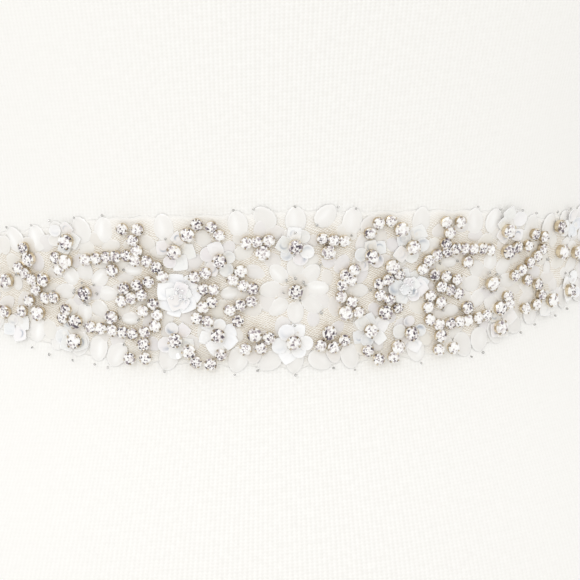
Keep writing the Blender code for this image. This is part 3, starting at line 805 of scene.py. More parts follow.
RIGHT_TUCK_FROM = (55.0, 68.0)
FURTHER_PETALS_FROM = 69.9
FURTHER_PETALS_TO = 177.0
FURTHER_LEANS = (30.0, 10.0)
PETAL_OUT = 0.00005
PETAL_TILT = 5.0
PETAL_LENGTHS = (0.96, 1.04)
PETAL_WIDTHS = (0.95, 1.05)
PAINTED_PALER_OVER = 360.0  # painted light: the petals are painted a little paler towards the wearer's right, the lamp's side


def mirrored(piece):
    """The piece, and its twin on the other side unless it is on the centre line."""
    if piece.u == 0.0:
        return [piece]
    return [piece, piece._replace(u=-piece.u, turn=180.0 - piece.turn)]


def about(u, v, reach, turn):
    """The place at a distance and in a direction from another one."""
    return u + reach * math.cos(turn), v + reach * math.sin(turn)


def flower_petals():
    for flower in FLOWERS:
        for i in range(flower.petals):
            turn = 360.0 * i / flower.petals + 90.0
            u, v = about(flower.u, flower.v, flower.ring, math.radians(turn))
            petal = Petal(u, v, flower.length, flower.width, turn)
            yield from [petal] if flower.u == 0.0 else mirrored(petal)


def edge_petals():
    further = []
    u = FURTHER_PETALS_FROM
    while u < FURTHER_PETALS_TO:
        further.append(EdgePetal(u, FURTHER_LEANS[len(further) % 2]))
        u += EDGE_PETAL_PITCH
    for upper, row in ((1.0, TOP_PETALS), (-1.0, BOTTOM_PETALS)):
        for petal in row + tuple(further):
            half_height = panel_half_height_at(petal.u)
            length = min(EDGE_PETAL_LENGTH, EDGE_PETAL_SHARE * half_height)
            inset = petal.inset - (0.0 if upper > 0.0 else LOWER_HANG)
            v = upper * (half_height - 0.5 * length * math.cos(math.radians(petal.lean)) - inset)
            yield Petal(petal.u, v, length, EDGE_PETAL_WIDTH, upper * (90.0 - petal.lean))


def petal_by_hand(petal):
    """A petal as it is sewn: a little off its mark, and tucked under where it is at an edge."""
    at_edge = abs(petal.v) > panel_half_height_at(abs(petal.u)) - EDGE_BAND
    out, tilt = (EDGE_PETAL_OUT, EDGE_PETAL_TILT) if at_edge else (PETAL_OUT, HAND.uniform(0.0, PETAL_TILT))
    drawn_up = RIGHT_TUCK * ease(-petal.u, *RIGHT_TUCK_FROM) if at_edge and petal.v < 0.0 else 0.0
    u = petal.u + astray(STRAYS)
    v = petal.v + drawn_up + astray(STRAYS)
    turn = petal.turn + astray(TWISTS)
    length = petal.length * HAND.uniform(*PETAL_LENGTHS)
    width = petal.width * HAND.uniform(*PETAL_WIDTHS)
    # A random tone, painted paler towards the wearer's right as painted light.
    tint = min(max(HAND.random() - petal.u / PAINTED_PALER_OVER, 0.0), 1.0)
    return Sewn(u, v, out, turn, tilt, (length, width, PETAL_HEIGHT), tint)


all_petals = list(flower_petals())
for petal in list(PETALS) + list(edge_petals()):
    all_petals += mirrored(petal)
sewn_petals = [petal_by_hand(petal) for petal in all_petals]
petals = sew("petals", sewn_petals, petal_shape, petal_finish())
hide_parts("beaded_panel")

# ============================================================== the sequins
# Cupped round sequins and square ones with a pressed ring, clear with a faint
# pearly tint or chalk white. They overlap in rings to make the florets.

SEQUIN_POINTS = 12
ROUND_RINGS = ((0.06, 0.00), (0.28, 0.05), (0.50, 0.60), (0.50, 1.00), (0.47, 0.95), (0.28, 0.40),
               (0.06, 0.30))
SQUARE_RINGS = ((0.06, 0.00), (0.50, 0.05), (0.50, 0.50), (0.47, 0.45), (0.37, 0.48), (0.27, 0.60),
                (0.15, 0.36), (0.06, 0.32))
SQUARE_BEYOND = 0.4
SQUARENESS = 7.0
CUP_SHARES = (0.2, 0.3)
RIM_BEYOND = 0.465
SEQUIN_DEPTH = 0.45
SEQUIN_OUT = 0.00012
SEQUIN_STEP = 0.00018
SEQUIN_STRAY = 0.22
SEQUIN_REACHES = (0.82, 1.2)
SEQUIN_SIZES = (0.82, 1.12)
SEQUIN_TILTS = (4.0, 12.0)
SEQUIN_TWIST = 45.0
FLORET_TURN = 72.0
SHADE_DRAWS = 7.0  # which sequins are shaded goes by their tints, many times round
SHADE_RARITY = 1.3
CUP_SHADE = (0.36, 0.41, 0.49)
CUT_EDGE_HIGHLIGHT = (1.0, 1.0, 1.0)


def sequin_ring(share, height, square):
    ring = []
    for i in range(SEQUIN_POINTS):
        angle = 2.0 * math.pi * (i + 0.5) / SEQUIN_POINTS
        reach = share
        if square and share > SQUARE_BEYOND:
            corner = abs(math.cos(angle)) ** SQUARENESS + abs(math.sin(angle)) ** SQUARENESS
            reach = share * corner ** (-1.0 / SQUARENESS)
        ring.append((reach * math.cos(angle), reach * math.sin(angle), height))
    return ring


def cup_shadow(place, share):
    """One side of the ring round the pressed cup lies in shadow."""
    if not CUP_SHARES[0] < share < CUP_SHARES[1]:
        return 0.0
    return max(math.sin(math.atan2(place.y, place.x)), 0.0)


def sequin_shape(name, rings, square):
    shape = ringed_shape(name, [sequin_ring(share, height, square) for share, height in rings])
    mark_reach(shape, rings)
    mark(shape, "crescent", [cup_shadow(corner.co, rings[i // SEQUIN_POINTS][0])
                             for i, corner in enumerate(shape.data.vertices)])
    return shape


def colour_in_row(tree, part, colours, places=()):
    """A colour off a row, as part goes from 0 to 1: in steps from given places, or blended."""
    ramp = add_node(tree, "ShaderNodeValToRGB", {"Fac": part})
    ramp.color_ramp.interpolation = "CONSTANT" if places else "LINEAR"
    stops = ramp.color_ramp.elements
    while len(stops) < len(colours):
        stops.new(1.0)
    for i, colour in enumerate(colours):
        stops[i].position = places[i] if places else i / (len(colours) - 1)
        stops[i].color = (*colour, 1.0)
    return ramp.outputs[0]


def sequin_finish(name, tints, shade):
    """Plastic film with a painted highlight on its cut edge; on some, a painted shadow greys one side of the
    pressed cup.
    """
    finish, tree = new_finish(name, {"Roughness": 0.14, "Coat Weight": 0.6, "Coat Roughness": 0.05})
    tint = stored(tree, "tint")
    film = colour_in_row(tree, tint, tints)
    drawn = calculate(tree, "FRACT", times(tree, tint, SHADE_DRAWS))
    chosen = calculate(tree, "POWER", drawn, SHADE_RARITY)
    # Painted shadow on one side of the pressed cup, on the sequins the tint picks.
    pressed = times(tree, stored(tree, "crescent"), times(tree, chosen, shade))
    # Painted highlight along the cut edge.
    rim = calculate(tree, "GREATER_THAN", stored(tree, "reach"), RIM_BEYOND)
    paint(finish, tone_between(tree, rim, tone_between(tree, pressed, film, CUP_SHADE), CUT_EDGE_HIGHLIGHT))
    return finish


PEARL_TINTS = ((0.90, 0.895, 0.870), (0.860, 0.875, 0.895), (0.91, 0.89, 0.85), (0.900, 0.865, 0.878),
               (0.96, 0.96, 0.96), (0.860, 0.865, 0.850))
CHALK_TINTS = ((0.98, 0.98, 0.98), (0.95, 0.96, 0.99), (1.0, 1.0, 1.0))

BOTH = (1.0, -1.0)
LEFT = (-1.0,)
RIGHT = (1.0,)
SHAPES = ("round", "square", "square")  # square ones are twice as common
SQUARE_ONLY = ("square",)
Floret = namedtuple("Floret", "u v sequins ring sequin stone chalk sides forms lift", defaults=(SHAPES, 0.0))
FLORETS = (
    Floret(0.0, 13.4, 6, 3.5, 4.4, 4.3, False, RIGHT),
    Floret(0.9, -15.7, 6, 3.6, 4.8, 4.3, True, LEFT),
    Floret(22.1, 9.6, 5, 3.3, 4.3, 4.2, False, BOTH),
    Floret(22.1, -13.2, 6, 3.4, 4.4, 4.2, True, LEFT),
    Floret(22.1, -13.2, 6, 3.4, 4.4, 4.2, False, RIGHT),
    Floret(34.6, 12.0, 5, 3.7, 4.4, 4.3, False, BOTH),
    Floret(34.2, -14.8, 5, 3.7, 4.4, 4.3, False, BOTH),
    Floret(33.6, -1.4, 7, 3.7, 5.4, 0.0, True, LEFT, SQUARE_ONLY),
    Floret(33.6, -1.4, 5, 1.9, 4.2, 0.0, False, LEFT, SQUARE_ONLY, 0.6),
    Floret(34.2, -0.8, 6, 3.3, 4.8, 0.0, False, RIGHT),
    Floret(34.2, -0.8, 4, 1.6, 3.8, 0.0, False, RIGHT, SHAPES, 0.6),
    Floret(38.4, 0.2, 1, 0.0, 4.6, 0.0, False, RIGHT, SQUARE_ONLY, 0.3),
    Floret(68.4, 15.4, 5, 3.4, 4.4, 0.0, False, BOTH),
    Floret(65.7, -14.6, 5, 3.2, 4.4, 0.0, False, BOTH),
    Floret(84.0, -13.0, 4, 2.6, 4.0, 0.0, False, BOTH),
    Floret(94.8, 11.0, 4, 3.0, 4.2, 0.0, False, BOTH),
    Floret(95.7, -10.4, 4, 3.0, 4.2, 0.0, True, BOTH),
    Floret(118.5, 8.4, 5, 3.2, 4.0, 3.4, False, BOTH),
    Floret(118.5, -8.4, 5, 3.2, 4.0, 3.4, True, BOTH),
    Floret(148.5, 7.6, 5, 3.0, 3.8, 3.4, True, BOTH),
    Floret(148.5, -7.6, 5, 3.0, 3.8, 3.4, False, BOTH),
)


def floret_sequins(floret, side):
    start = HAND.uniform(0.0, FLORET_TURN)
    for i in range(floret.sequins):
        turn = start + side * 360.0 * (i + astray(SEQUIN_STRAY)) / floret.sequins
        reach = floret.ring * HAND.uniform(*SEQUIN_REACHES)
        u, v = about(side * floret.u, floret.v, reach, math.radians(turn))
        size = floret.sequin * HAND.uniform(*SEQUIN_SIZES)
        out = floret.lift * MM + SEQUIN_OUT + SEQUIN_STEP * (i % 3)
        yield Sewn(u, v, out, turn + astray(SEQUIN_TWIST), HAND.uniform(*SEQUIN_TILTS),
                   (size, size, SEQUIN_DEPTH), HAND.random())


sewn_sequins = {(form, chalk): [] for chalk in (False, True) for form in ("round", "square")}
for floret in FLORETS:
    for side in floret.sides:
        for sequin in floret_sequins(floret, side):
            form = HAND.choice(floret.forms)
            sewn_sequins[form, floret.chalk].append(sequin)

sequin_shapes = {"round": sequin_shape("round_sequin", ROUND_RINGS, False),
                 "square": sequin_shape("square_sequin", SQUARE_RINGS, True)}
sequin_finishes = {False: sequin_finish("pearly_sequin", PEARL_TINTS, 1.0),
                   True: sequin_finish("chalk_sequin", CHALK_TINTS, 0.35)}
for (form, chalk), pieces in sewn_sequins.items():
    name = ("chalk_" if chalk else "pearly_") + form + "_sequins"
    sequins = sew(name, pieces, sequin_shapes[form], sequin_finishes[chalk], seed=3)
    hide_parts("beaded_panel")

# =========================================================== claw-set stones
# Round glass stones, each held by four claws in a plated cup that is sewn
# down through its base. Large ones sit in the flowers and florets; small ones
# follow one another in scrolls and rows.

LARGE_STONE = 4.4
SMALL_STONE = 3.6
SCATTER = 8.0
CUP_SIDES = 12
Scroll = namedtuple("Scroll", "u v radius start end stones stagger sides")
SCROLLS = (
    Scroll(22.9, -0.6, 9.5, 148.0, 192.0, 3, 0.0, RIGHT),
    Scroll(26.8, 14.9, 5.5, 158.0, 78.0, 3, 0.0, BOTH),
    Scroll(25.9, -17.0, 5.2, 205.0, 300.0, 3, 0.0, BOTH),
    Scroll(45.7, 1.4, 8.0, 86.0, 157.0, 4, 0.0, BOTH),
    Scroll(78.7, 9.2, 3.4, 180.0, -40.0, 4, 0.0, RIGHT),
    Scroll(75.6, -7.8, 5.6, 88.0, -105.0, 5, 0.0, RIGHT),
    Scroll(122.5, 0.0, 6.0, 115.0, 245.0, 6, 1.0, BOTH),
    Scroll(152.5, 0.0, 5.2, 120.0, 240.0, 5, 0.8, BOTH),
    Scroll(101.1, 0.0, 10.6, 52.0, 22.0, 3, 0.0, BOTH),
    Scroll(101.1, 0.0, 10.6, -52.0, -22.0, 3, 0.0, BOTH),
    Scroll(134.0, 0.0, 9.6, 66.0, 22.0, 4, 0.0, BOTH),
    Scroll(134.0, 0.0, 9.6, -66.0, -22.0, 4, 0.0, BOTH),
    Scroll(163.0, 0.0, 8.9, 62.0, -62.0, 6, 0.0, BOTH),
)
Row = namedtuple("Row", "u v end_u end_v stones sides")
ROWS = (
    Row(7.8, 15.6, 14.3, 14.8, 3, BOTH),
    Row(10.0, -17.3, 14.1, -17.3, 2, LEFT),
    Row(7.4, -16.9, 10.9, -17.4, 2, RIGHT),
    Row(18.1, 3.5, 12.4, 0.6, 3, LEFT),
    Row(12.8, -2.7, 18.9, -5.8, 3, LEFT),
    Row(25.9, 5.7, 29.0, 4.2, 2, LEFT),
    Row(26.6, 0.9, 23.4, 0.6, 2, LEFT),
    Row(23.9, -3.3, 26.9, -4.9, 2, LEFT),
    Row(28.7, -8.2, 25.3, -9.0, 2, LEFT),
    Row(17.5, 6.0, 16.5, 2.5, 2, RIGHT),
    Row(16.6, -4.0, 18.5, -7.4, 2, RIGHT),
    Row(24.7, 1.3, 27.6, 2.1, 2, RIGHT),
    Row(25.3, -2.4, 28.0, -3.8, 2, RIGHT),
    Row(49.0, 10.5, 61.2, 9.2, 5, BOTH),
    Row(42.4, 3.0, 49.8, 0.7, 3, BOTH),
    Row(44.7, -1.2, 50.5, -3.6, 3, BOTH),
    Row(41.0, -4.0, 40.2, -7.4, 2, BOTH),
    Row(40.5, -10.9, 43.6, -12.6, 2, BOTH),
    Row(46.9, -12.9, 59.6, -11.4, 5, BOTH),
    Row(46.6, 15.5, 45.7, 12.2, 2, BOTH),
    Row(45.3, 18.7, 49.8, 18.8, 2, BOTH),
    Row(43.0, -20.4, 47.6, -20.5, 2, BOTH),
    Row(79.4, 5.0, 70.6, -0.2, 4, RIGHT),
    Row(83.4, 5.3, 78.8, 1.6, 3, LEFT),
    Row(77.8, -1.0, 82.0, -8.4, 3, LEFT),
    Row(74.6, -3.4, 71.6, -3.3, 2, LEFT),
    Row(104.6, 10.8, 108.4, 10.4, 2, LEFT),
    Row(126.2, 8.4, 129.0, 10.4, 2, BOTH),
    Row(126.2, -8.4, 129.0, -10.4, 2, BOTH),
    Row(155.8, 8.2, 158.6, 9.6, 2, BOTH),
    Row(155.8, -8.2, 158.6, -9.6, 2, BOTH),
)
Stone = namedtuple("Stone", "u v diameter sides")
STONES = (
    Stone(9.4, 11.7, 4.4, BOTH),
    Stone(7.9, -14.4, 3.8, LEFT),
    Stone(11.8, -13.0, 4.4, LEFT),
    Stone(9.6, -13.0, 4.4, RIGHT),
    Stone(14.0, -15.9, 3.6, RIGHT),
    Stone(16.0, 6.2, 3.8, LEFT),
    Stone(16.6, -8.8, 3.6, LEFT),
    Stone(14.9, -7.3, 4.4, RIGHT),
    Stone(31.0, 17.6, 4.4, BOTH),
    Stone(30.3, -18.4, 4.2, BOTH),
    Stone(28.7, 6.3, 4.4, RIGHT),
    Stone(31.2, 3.6, 3.4, RIGHT),
    Stone(26.6, -7.8, 4.4, RIGHT),
    Stone(30.7, -7.0, 3.2, RIGHT),
    Stone(44.3, -5.9, 3.6, BOTH),
    Stone(43.6, -16.4, 3.8, BOTH),
    Stone(53.1, 6.1, 3.8, BOTH),
    Stone(53.3, -8.2, 4.0, BOTH),
    Stone(67.0, 14.4, 4.5, BOTH),
    Stone(67.6, 8.0, 4.5, BOTH),
    Stone(71.0, 8.9, 3.6, BOTH),
    Stone(69.8, 5.6, 3.6, LEFT),
    Stone(67.8, -6.8, 3.6, BOTH),
    Stone(68.4, -9.6, 3.6, BOTH),
    Stone(64.6, -10.0, 4.3, BOTH),
    Stone(64.4, -16.2, 4.5, BOTH),
    Stone(81.5, 11.7, 3.6, LEFT),
    Stone(79.8, 8.2, 4.5, LEFT),
    Stone(75.1, 2.1, 4.2, LEFT),
    Stone(76.9, -8.6, 4.3, LEFT),
    Stone(88.0, 0.5, 4.5, LEFT),
    Stone(88.2, -9.0, 4.0, LEFT),
    Stone(88.0, 12.5, 4.2, RIGHT),
    Stone(90.5, 3.5, 4.5, RIGHT),
    Stone(97.5, 0.9, 4.2, RIGHT),
    Stone(85.8, -12.0, 4.3, RIGHT),
    Stone(94.3, -11.0, 4.2, RIGHT),
)
STONE_PAINTED_REFLECTIONS = ((0.10, 0.08, 0.10), (0.31, 0.265, 0.29), (0.57, 0.515, 0.52), (0.80, 0.76, 0.735),
               (0.905, 0.89, 0.86), (0.975, 0.97, 0.96))
STONE_SHARES = (0.0, 0.08, 0.18, 0.31, 0.46, 0.67)
STONE_TINT_SHIFT = (0.30, -0.12)
CROWN_SIDES = 8
GIRDLE_SIDES = 16
CROWN_TOP = (0.20, 0.98)
CROWN_MIDDLE = (0.36, 0.80)
GIRDLE = (0.50, 0.30)
STONE_BASE = (0.44, 0.0)
CUP_RINGS = ((0.38, 0.0), (0.46, 0.20), (0.50, 0.92), (0.49, 1.0), (0.46, 0.95), (0.40, 0.60))
CLAW_PROFILE = ((0.50, 0.0), (0.54, 0.50), (0.43, 1.0), (0.38, 0.97), (0.46, 0.50), (0.45, 0.0))
CLAW_HALF_WIDTH = 0.065
CLAWS = 4
CUP_HEIGHT = 2.1
CLAW_SEAT = 1.7
CLAW_HEIGHT = 1.0
CROWN_SEAT = 1.85
CROWN_HEIGHT = 0.9
CROWN_SHARE = 0.99
FLOWER_STONE_LIFT = 0.3
FLORET_STONE_LIFT = 0.6


def stone_places():
    """Every stone that isn't in the middle of a flower or floret, as on the wearer's left."""
    yield from STONES
    for row in ROWS:
        for i in range(row.stones):
            part = i / (row.stones - 1)
            u = row.u + (row.end_u - row.u) * part
            v = row.v + (row.end_v - row.v) * part
            yield Stone(u, v, SMALL_STONE, row.sides)
    for scroll in SCROLLS:
        for i in range(scroll.stones):
            turn = scroll.start + (scroll.end - scroll.start) * i / (scroll.stones - 1)
            radius = scroll.radius + scroll.stagger * (1.0 if i % 2 else -1.0)
            u, v = about(scroll.u, scroll.v, radius, math.radians(turn))
            yield Stone(u, v, SMALL_STONE, scroll.sides)


def circle(radius, height, count, offset=0.0):
    turns = [2.0 * math.pi * (i + offset) / count for i in range(count)]
    return [(radius * math.cos(turn), radius * math.sin(turn), height) for turn in turns]


def keep_modelled(model, name):
    """Keeps a shape that was built face by face as a pattern, turned right side out."""
    bmesh.ops.recalc_face_normals(model, faces=model.faces)
    mesh = bpy.data.meshes.new(name)
    model.to_mesh(mesh)
    model.free()
    return keep_shape(mesh)


def cut_stone_shape():
    """A faceted crown: a fan of eight at the top, then kites and girdle facets, on a flat base."""
    model = bmesh.new()
    peak = model.verts.new((0.0, 0.0, 1.0))
    upper = [model.verts.new(point) for point in circle(*CROWN_TOP, CROWN_SIDES)]
    middle = [model.verts.new(point) for point in circle(*CROWN_MIDDLE, CROWN_SIDES, 0.5)]
    girdle = [model.verts.new(point) for point in circle(*GIRDLE, GIRDLE_SIDES)]
    base = [model.verts.new(point) for point in circle(*STONE_BASE, GIRDLE_SIDES)]
    for i in range(CROWN_SIDES):
        j = (i + 1) % CROWN_SIDES
        model.faces.new((peak, upper[i], upper[j]))
        model.faces.new((upper[i], middle[i], upper[j]))
        model.faces.new((upper[j], middle[i], middle[j]))
        model.faces.new((middle[i], girdle[2 * i], girdle[2 * i + 1]))
        model.faces.new((middle[i], girdle[2 * i + 1], girdle[2 * j]))
        model.faces.new((middle[i], girdle[2 * j], middle[j]))
    for i in range(GIRDLE_SIDES):
        j = (i + 1) % GIRDLE_SIDES
        model.faces.new((base[i], base[j], girdle[j], girdle[i]))
    model.faces.new(base[::-1])
    return keep_modelled(model, "cut_stone")


def claw_shape():
    """Short claws bent in over the stone's edge."""
    model = bmesh.new()
    count = len(CLAW_PROFILE)
    for k in range(CLAWS):
        turn = Matrix.Rotation(2.0 * math.pi * (k + 0.5) / CLAWS, 3, "Z")
        sides = []
        for half in (-CLAW_HALF_WIDTH, CLAW_HALF_WIDTH):
            corners = [turn @ Vector((reach, half, height)) for reach, height in CLAW_PROFILE]
            sides.append([model.verts.new(corner) for corner in corners])
        left, right = sides
        model.faces.new(left)
        model.faces.new(right[::-1])
        for i in range(count):
            j = (i + 1) % count
            model.faces.new((left[i], left[j], right[j], right[i]))
    return keep_modelled(model, "claws")


def crystal_finish():
    """Clear glass over foil, with painted reflections: each facet is painted a light or dark tone of its
    own.
    """
    finish, tree = new_finish("cut_crystal", {"Roughness": 0.06})
    shift = scaled(tree, stored(tree, "tint"), *STONE_TINT_SHIFT)
    part = calculate(tree, "ADD", stored(tree, "facet"), shift)
    paint(finish, colour_in_row(tree, part, STONE_PAINTED_REFLECTIONS, STONE_SHARES))
    return finish


def faceted_finish(name, constants, dark, light):
    """A finish in which every facet is painted its own tone, light or dark, as painted reflections."""
    finish, tree = new_finish(name, constants)
    paint(finish, tone_between(tree, stored(tree, "facet"), dark, light))
    return finish


def flower_sides(flower):
    return RIGHT if flower.u == 0.0 else BOTH


sewn_stones = []
for flower in FLOWERS:
    for side in flower_sides(flower):
        sewn_stones.append((side * flower.u, flower.v, flower.stone, FLOWER_STONE_LIFT))
for floret in FLORETS:
    if floret.stone:
        for side in floret.sides:
            sewn_stones.append((side * floret.u, floret.v, floret.stone, FLORET_STONE_LIFT))
for stone in stone_places():
    for side in stone.sides:
        sewn_stones.append((side * stone.u, stone.v, stone.diameter, 0.0))

cups, claws, crowns = [], [], []
set_parts = ((cups, 0.0, CUP_HEIGHT, 1.0), (claws, CLAW_SEAT, CLAW_HEIGHT, 1.0),
             (crowns, CROWN_SEAT, CROWN_HEIGHT, CROWN_SHARE))
for u, v, diameter, lift in sewn_stones:
    u += astray(STRAYS)
    v += astray(STRAYS)
    turn = HAND.uniform(0.0, 90.0)
    tilt = astray(SCATTER)
    tint = HAND.random()
    scale = diameter / LARGE_STONE
    for parts, seat_height, height, share in set_parts:
        size = (share * diameter, share * diameter, height * scale)
        parts.append(Sewn(u, v, (lift + seat_height * scale) * MM, turn, tilt, size, tint))

cup_shape = ringed_shape("cup", [circle(share, height, CUP_SIDES) for share, height in CUP_RINGS])
# Cups and claws: every facet painted light or dark, as painted reflections; the dark golden-brown of the
# cups is also painted shade.
cup_plate = faceted_finish("cup_plate", {"Roughness": 0.35, "Metallic": 1.0},
                           dark=(0.54, 0.43, 0.27), light=(0.96, 0.87, 0.70))
claw_plate = faceted_finish("claw_plate", {"Roughness": 0.2, "Metallic": 1.0},
                            dark=(0.26, 0.20, 0.14), light=(0.88, 0.80, 0.66))
stone_cups = sew("stone_cups", cups, cup_shape, cup_plate, seed=5, smooth=False)
stone_claws = sew("stone_claws", claws, claw_shape(), claw_plate, seed=6, smooth=False)
cut_stones = sew("cut_stones", crowns, cut_stone_shape(), crystal_finish(), seed=7, smooth=False)
for piece in (stone_cups, stone_claws, cut_stones):
    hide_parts("beaded_panel")

# =========================================================== the underlayer
# Clear petals, faintly pink or lilac, lie flat on the net under everything
# else and fill what room the flowers, florets and scrolls leave.

UNDER_TRIES = 2600
UNDER_REACH = 172.0
UNDER_INSET = 4.5
UNDER_SPACING = 4.4
ROOM_BY_PETAL = 3.2
ROOM_BY_STONE = 2.0
UNDER_OUT = -0.00002
UNDER_LENGTHS = (5.0, 6.8)
UNDER_WIDTH = 0.72
UNDER_HEIGHT = 0.28
UNDER_TILT = 2.0
UNDER_TINTS = ((0.838, 0.808, 0.748), (0.822, 0.790, 0.762), (0.866, 0.845, 0.805), (0.822, 0.797, 0.800),
               (0.850, 0.823, 0.770))
UNDER_RIM = 14.0
UNDER_EDGE_HIGHLIGHT = (0.955, 0.945, 0.925)


def under_finish():
    """Clear plastic over the net: near the net's own tone, with a painted highlight on its edge."""
    finish, tree = new_finish("clear_petal", {"Roughness": 0.16, "Coat Weight": 0.6, "Coat Roughness": 0.08})
    film = colour_in_row(tree, stored(tree, "tint"), UNDER_TINTS)
    rim = calculate(tree, "POWER", stored(tree, "reach"), UNDER_RIM)
    paint(finish, tone_between(tree, rim, film, UNDER_EDGE_HIGHLIGHT))
    return finish


def has_room(u, v, taken, spacing):
    return all((u - x) ** 2 + (v - y) ** 2 > spacing ** 2 for x, y in taken)


petal_spots = [(petal.u, petal.v) for petal in all_petals]
stone_spots = [(u, v) for u, v, _, _ in sewn_stones]
under_spots = []
under_petals = []
for _ in range(UNDER_TRIES):
    u = astray(UNDER_REACH)
    v = astray(1.0) * (panel_half_height_at(abs(u)) - UNDER_INSET)
    rooms = ((under_spots, UNDER_SPACING), (petal_spots, ROOM_BY_PETAL), (stone_spots, ROOM_BY_STONE))
    if all(has_room(u, v, taken, spacing) for taken, spacing in rooms):
        under_spots.append((u, v))
        long = HAND.uniform(*UNDER_LENGTHS)
        size = (long, UNDER_WIDTH * long, UNDER_HEIGHT)
        turn, tilt = HAND.uniform(0.0, 360.0), astray(UNDER_TILT)
        under_petals.append(Sewn(u, v, UNDER_OUT, turn, tilt, size, HAND.random()))
under_shape = petal_pattern("under_petal")
clear_petals = sew("clear_petals", under_petals, under_shape, under_finish(), seed=8)
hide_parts("beaded_panel")

# ============================================================ the seed beads
# Tiny silver-lined beads stop the thread at each petal's tip and root, and
# stand round the stones of the flowers. Larger clear glass ones fill the
# middles of the two biggest florets.

SEED_SIZE = 0.9
SEED_SIZES = (0.9, 1.15)
SEED_FLATNESS = 0.8
SEED_STRAY = 0.3
SEED_TILTS = (20.0, 80.0)
SEED_SIDES = 8
SEED_PROFILE = ((0.50, 0.50), (0.36, 0.80), (0.17, 0.62), (0.17, 0.38), (0.36, 0.20))
SEED_OUT = 0.0005
SEED_CHANCES = ((0.53, 0.85), (-0.47, 0.3))  # how far along the petal, and how often
CENTRE_SEEDS = 4
CENTRE_SEED_OUT = 0.001
CENTRE_SEED_CLEAR = 1.2
CLEAR_CLUSTERS = ((-33.6, -1.4, 7, 2.6), (34.2, -0.8, 7, 2.8))
CLEAR_BEAD_SIZE = 1.35
CLEAR_BEAD_OUT = 0.0013
CLUSTER_DOME = 0.0005
GOLDEN_TURN = math.pi * (3.0 - math.sqrt(5.0))


def seed_at(u, v, out, usual_size=SEED_SIZE):
    size = usual_size * HAND.uniform(*SEED_SIZES)
    return Sewn(u + astray(SEED_STRAY), v + astray(SEED_STRAY), out, HAND.uniform(0.0, 360.0),
                HAND.uniform(*SEED_TILTS), (size, size, SEED_FLATNESS * size), HAND.random())


seeds = []
for petal in all_petals:
    for end, chance_of_bead in SEED_CHANCES:
        if HAND.random() < chance_of_bead:
            u, v = about(petal.u, petal.v, end * petal.length, math.radians(petal.turn))
            seeds.append(seed_at(u, v, SEED_OUT))
for flower in FLOWERS:
    reach = 0.5 * flower.stone + CENTRE_SEED_CLEAR
    for side in flower_sides(flower):
        for i in range(CENTRE_SEEDS):
            angle = 2.0 * math.pi * (i + astray(SEED_STRAY)) / CENTRE_SEEDS
            u, v = about(side * flower.u, flower.v, reach, angle)
            seeds.append(seed_at(u, v, CENTRE_SEED_OUT))

clear_seeds = []
for middle_u, middle_v, count, spread in CLEAR_CLUSTERS:
    for i in range(count):
        reach = spread * math.sqrt((i + 0.5) / count)
        u, v = about(middle_u, middle_v, reach, i * GOLDEN_TURN)
        out = CLEAR_BEAD_OUT + CLUSTER_DOME * (1.0 - reach / spread)
        clear_seeds.append(seed_at(u, v, out, CLEAR_BEAD_SIZE))

seed_rings = [circle(share, height - 0.5, SEED_SIDES) for share, height in SEED_PROFILE]
seed_shape = ringed_shape("seed", seed_rings, closed_round=True)
# Seed beads: every facet painted light or dark, as painted reflections.
silver_lined = faceted_finish("silver_lined_seed", {"Roughness": 0.18, "Metallic": 0.55},
                              dark=(0.32, 0.315, 0.30), light=(0.93, 0.92, 0.90))
clear_glass = faceted_finish("clear_seed", {"Roughness": 0.25, "Coat Weight": 0.5},
                             dark=(0.93, 0.93, 0.95), light=(1.0, 1.0, 1.0))
sew("seed_beads", seeds, seed_shape, silver_lined, seed=9)
sew("clear_beads", clear_seeds, seed_shape, clear_glass, seed=10)

for pattern in patterns:
    bpy.data.objects.remove(pattern)

# ========================================================= the hooks and eyes
# Two hooks on the right ribbon's end hold two eyes on the left one's. Each is
# bent from one length of nickel-plated wire, with loops at its ends to sew by.

WIRE_RADIUS = 0.0004
WIRE_OUT = CLEARANCE + WALL + 0.0003 + WIRE_RADIUS
WIRE_SIDES = 12
HOOK_PLACES = {"upper": 6.0, "lower": -6.0}
SEWN_LOOP_RADIUS = 1.3
SEWN_LOOP_AT = 7.5
HOOK_NOSE = 1.2
HOOK_BILL_END = -3.0
BILL_LIFT = 0.0024
SHANK_BEND = 2.5
EYE_HALF_WIDTH = 2.2
EYE_TIP = 0.8
EYE_BEND = 5.0
FOOT_V = EYE_HALF_WIDTH + SEWN_LOOP_RADIUS
LOOP_ARC = (10.0, 270.0)
FOOT_ARC = (170.0, -90.0)
LOOP_STEPS = 26
SHANK_STEPS = 4
NOSE_STEPS = 12
BILL_STEPS = 3
BOW_STEPS = 24
STRAND_END = ((0.95, 0.3), (0.6, 0.8))  # how far out the last rings are, and how wide


def back_place(across, v, out):
    """A place at the centre back: across is measured from the seam, + on the left ribbon."""
    return worn_point(HALF_WAIST - across, v, out)


def bend(centre_across, centre_v, radius, start, end, steps):
    for i in range(steps + 1):
        yield about(centre_across, centre_v, radius, math.radians(start + (end - start) * i / steps))


def add_strand(points, faces, path, radius, sides):
    """A round strand along a path, with rounded ends, added to a mesh's points and faces."""
    last = len(path) - 1
    ways = [(path[min(i + 1, last)] - path[max(i - 1, 0)]).normalized() for i in range(last + 1)]
    stations = [(path[0] - ways[0] * radius * back, ways[0], share) for back, share in STRAND_END]
    stations += [(place, way, 1.0) for place, way in zip(path, ways)]
    stations += [(path[-1] + ways[-1] * radius * on, ways[-1], share) for on, share in reversed(STRAND_END)]
    faces += ring_faces(len(stations), sides, len(points))
    across = ways[0].orthogonal()
    for place, way, share in stations:
        across = (across - way * across.dot(way)).normalized()
        beside = way.cross(across)
        for i in range(sides):
            angle = 2.0 * math.pi * i / sides
            points.append(place + (across * math.cos(angle) + beside * math.sin(angle)) * radius * share)


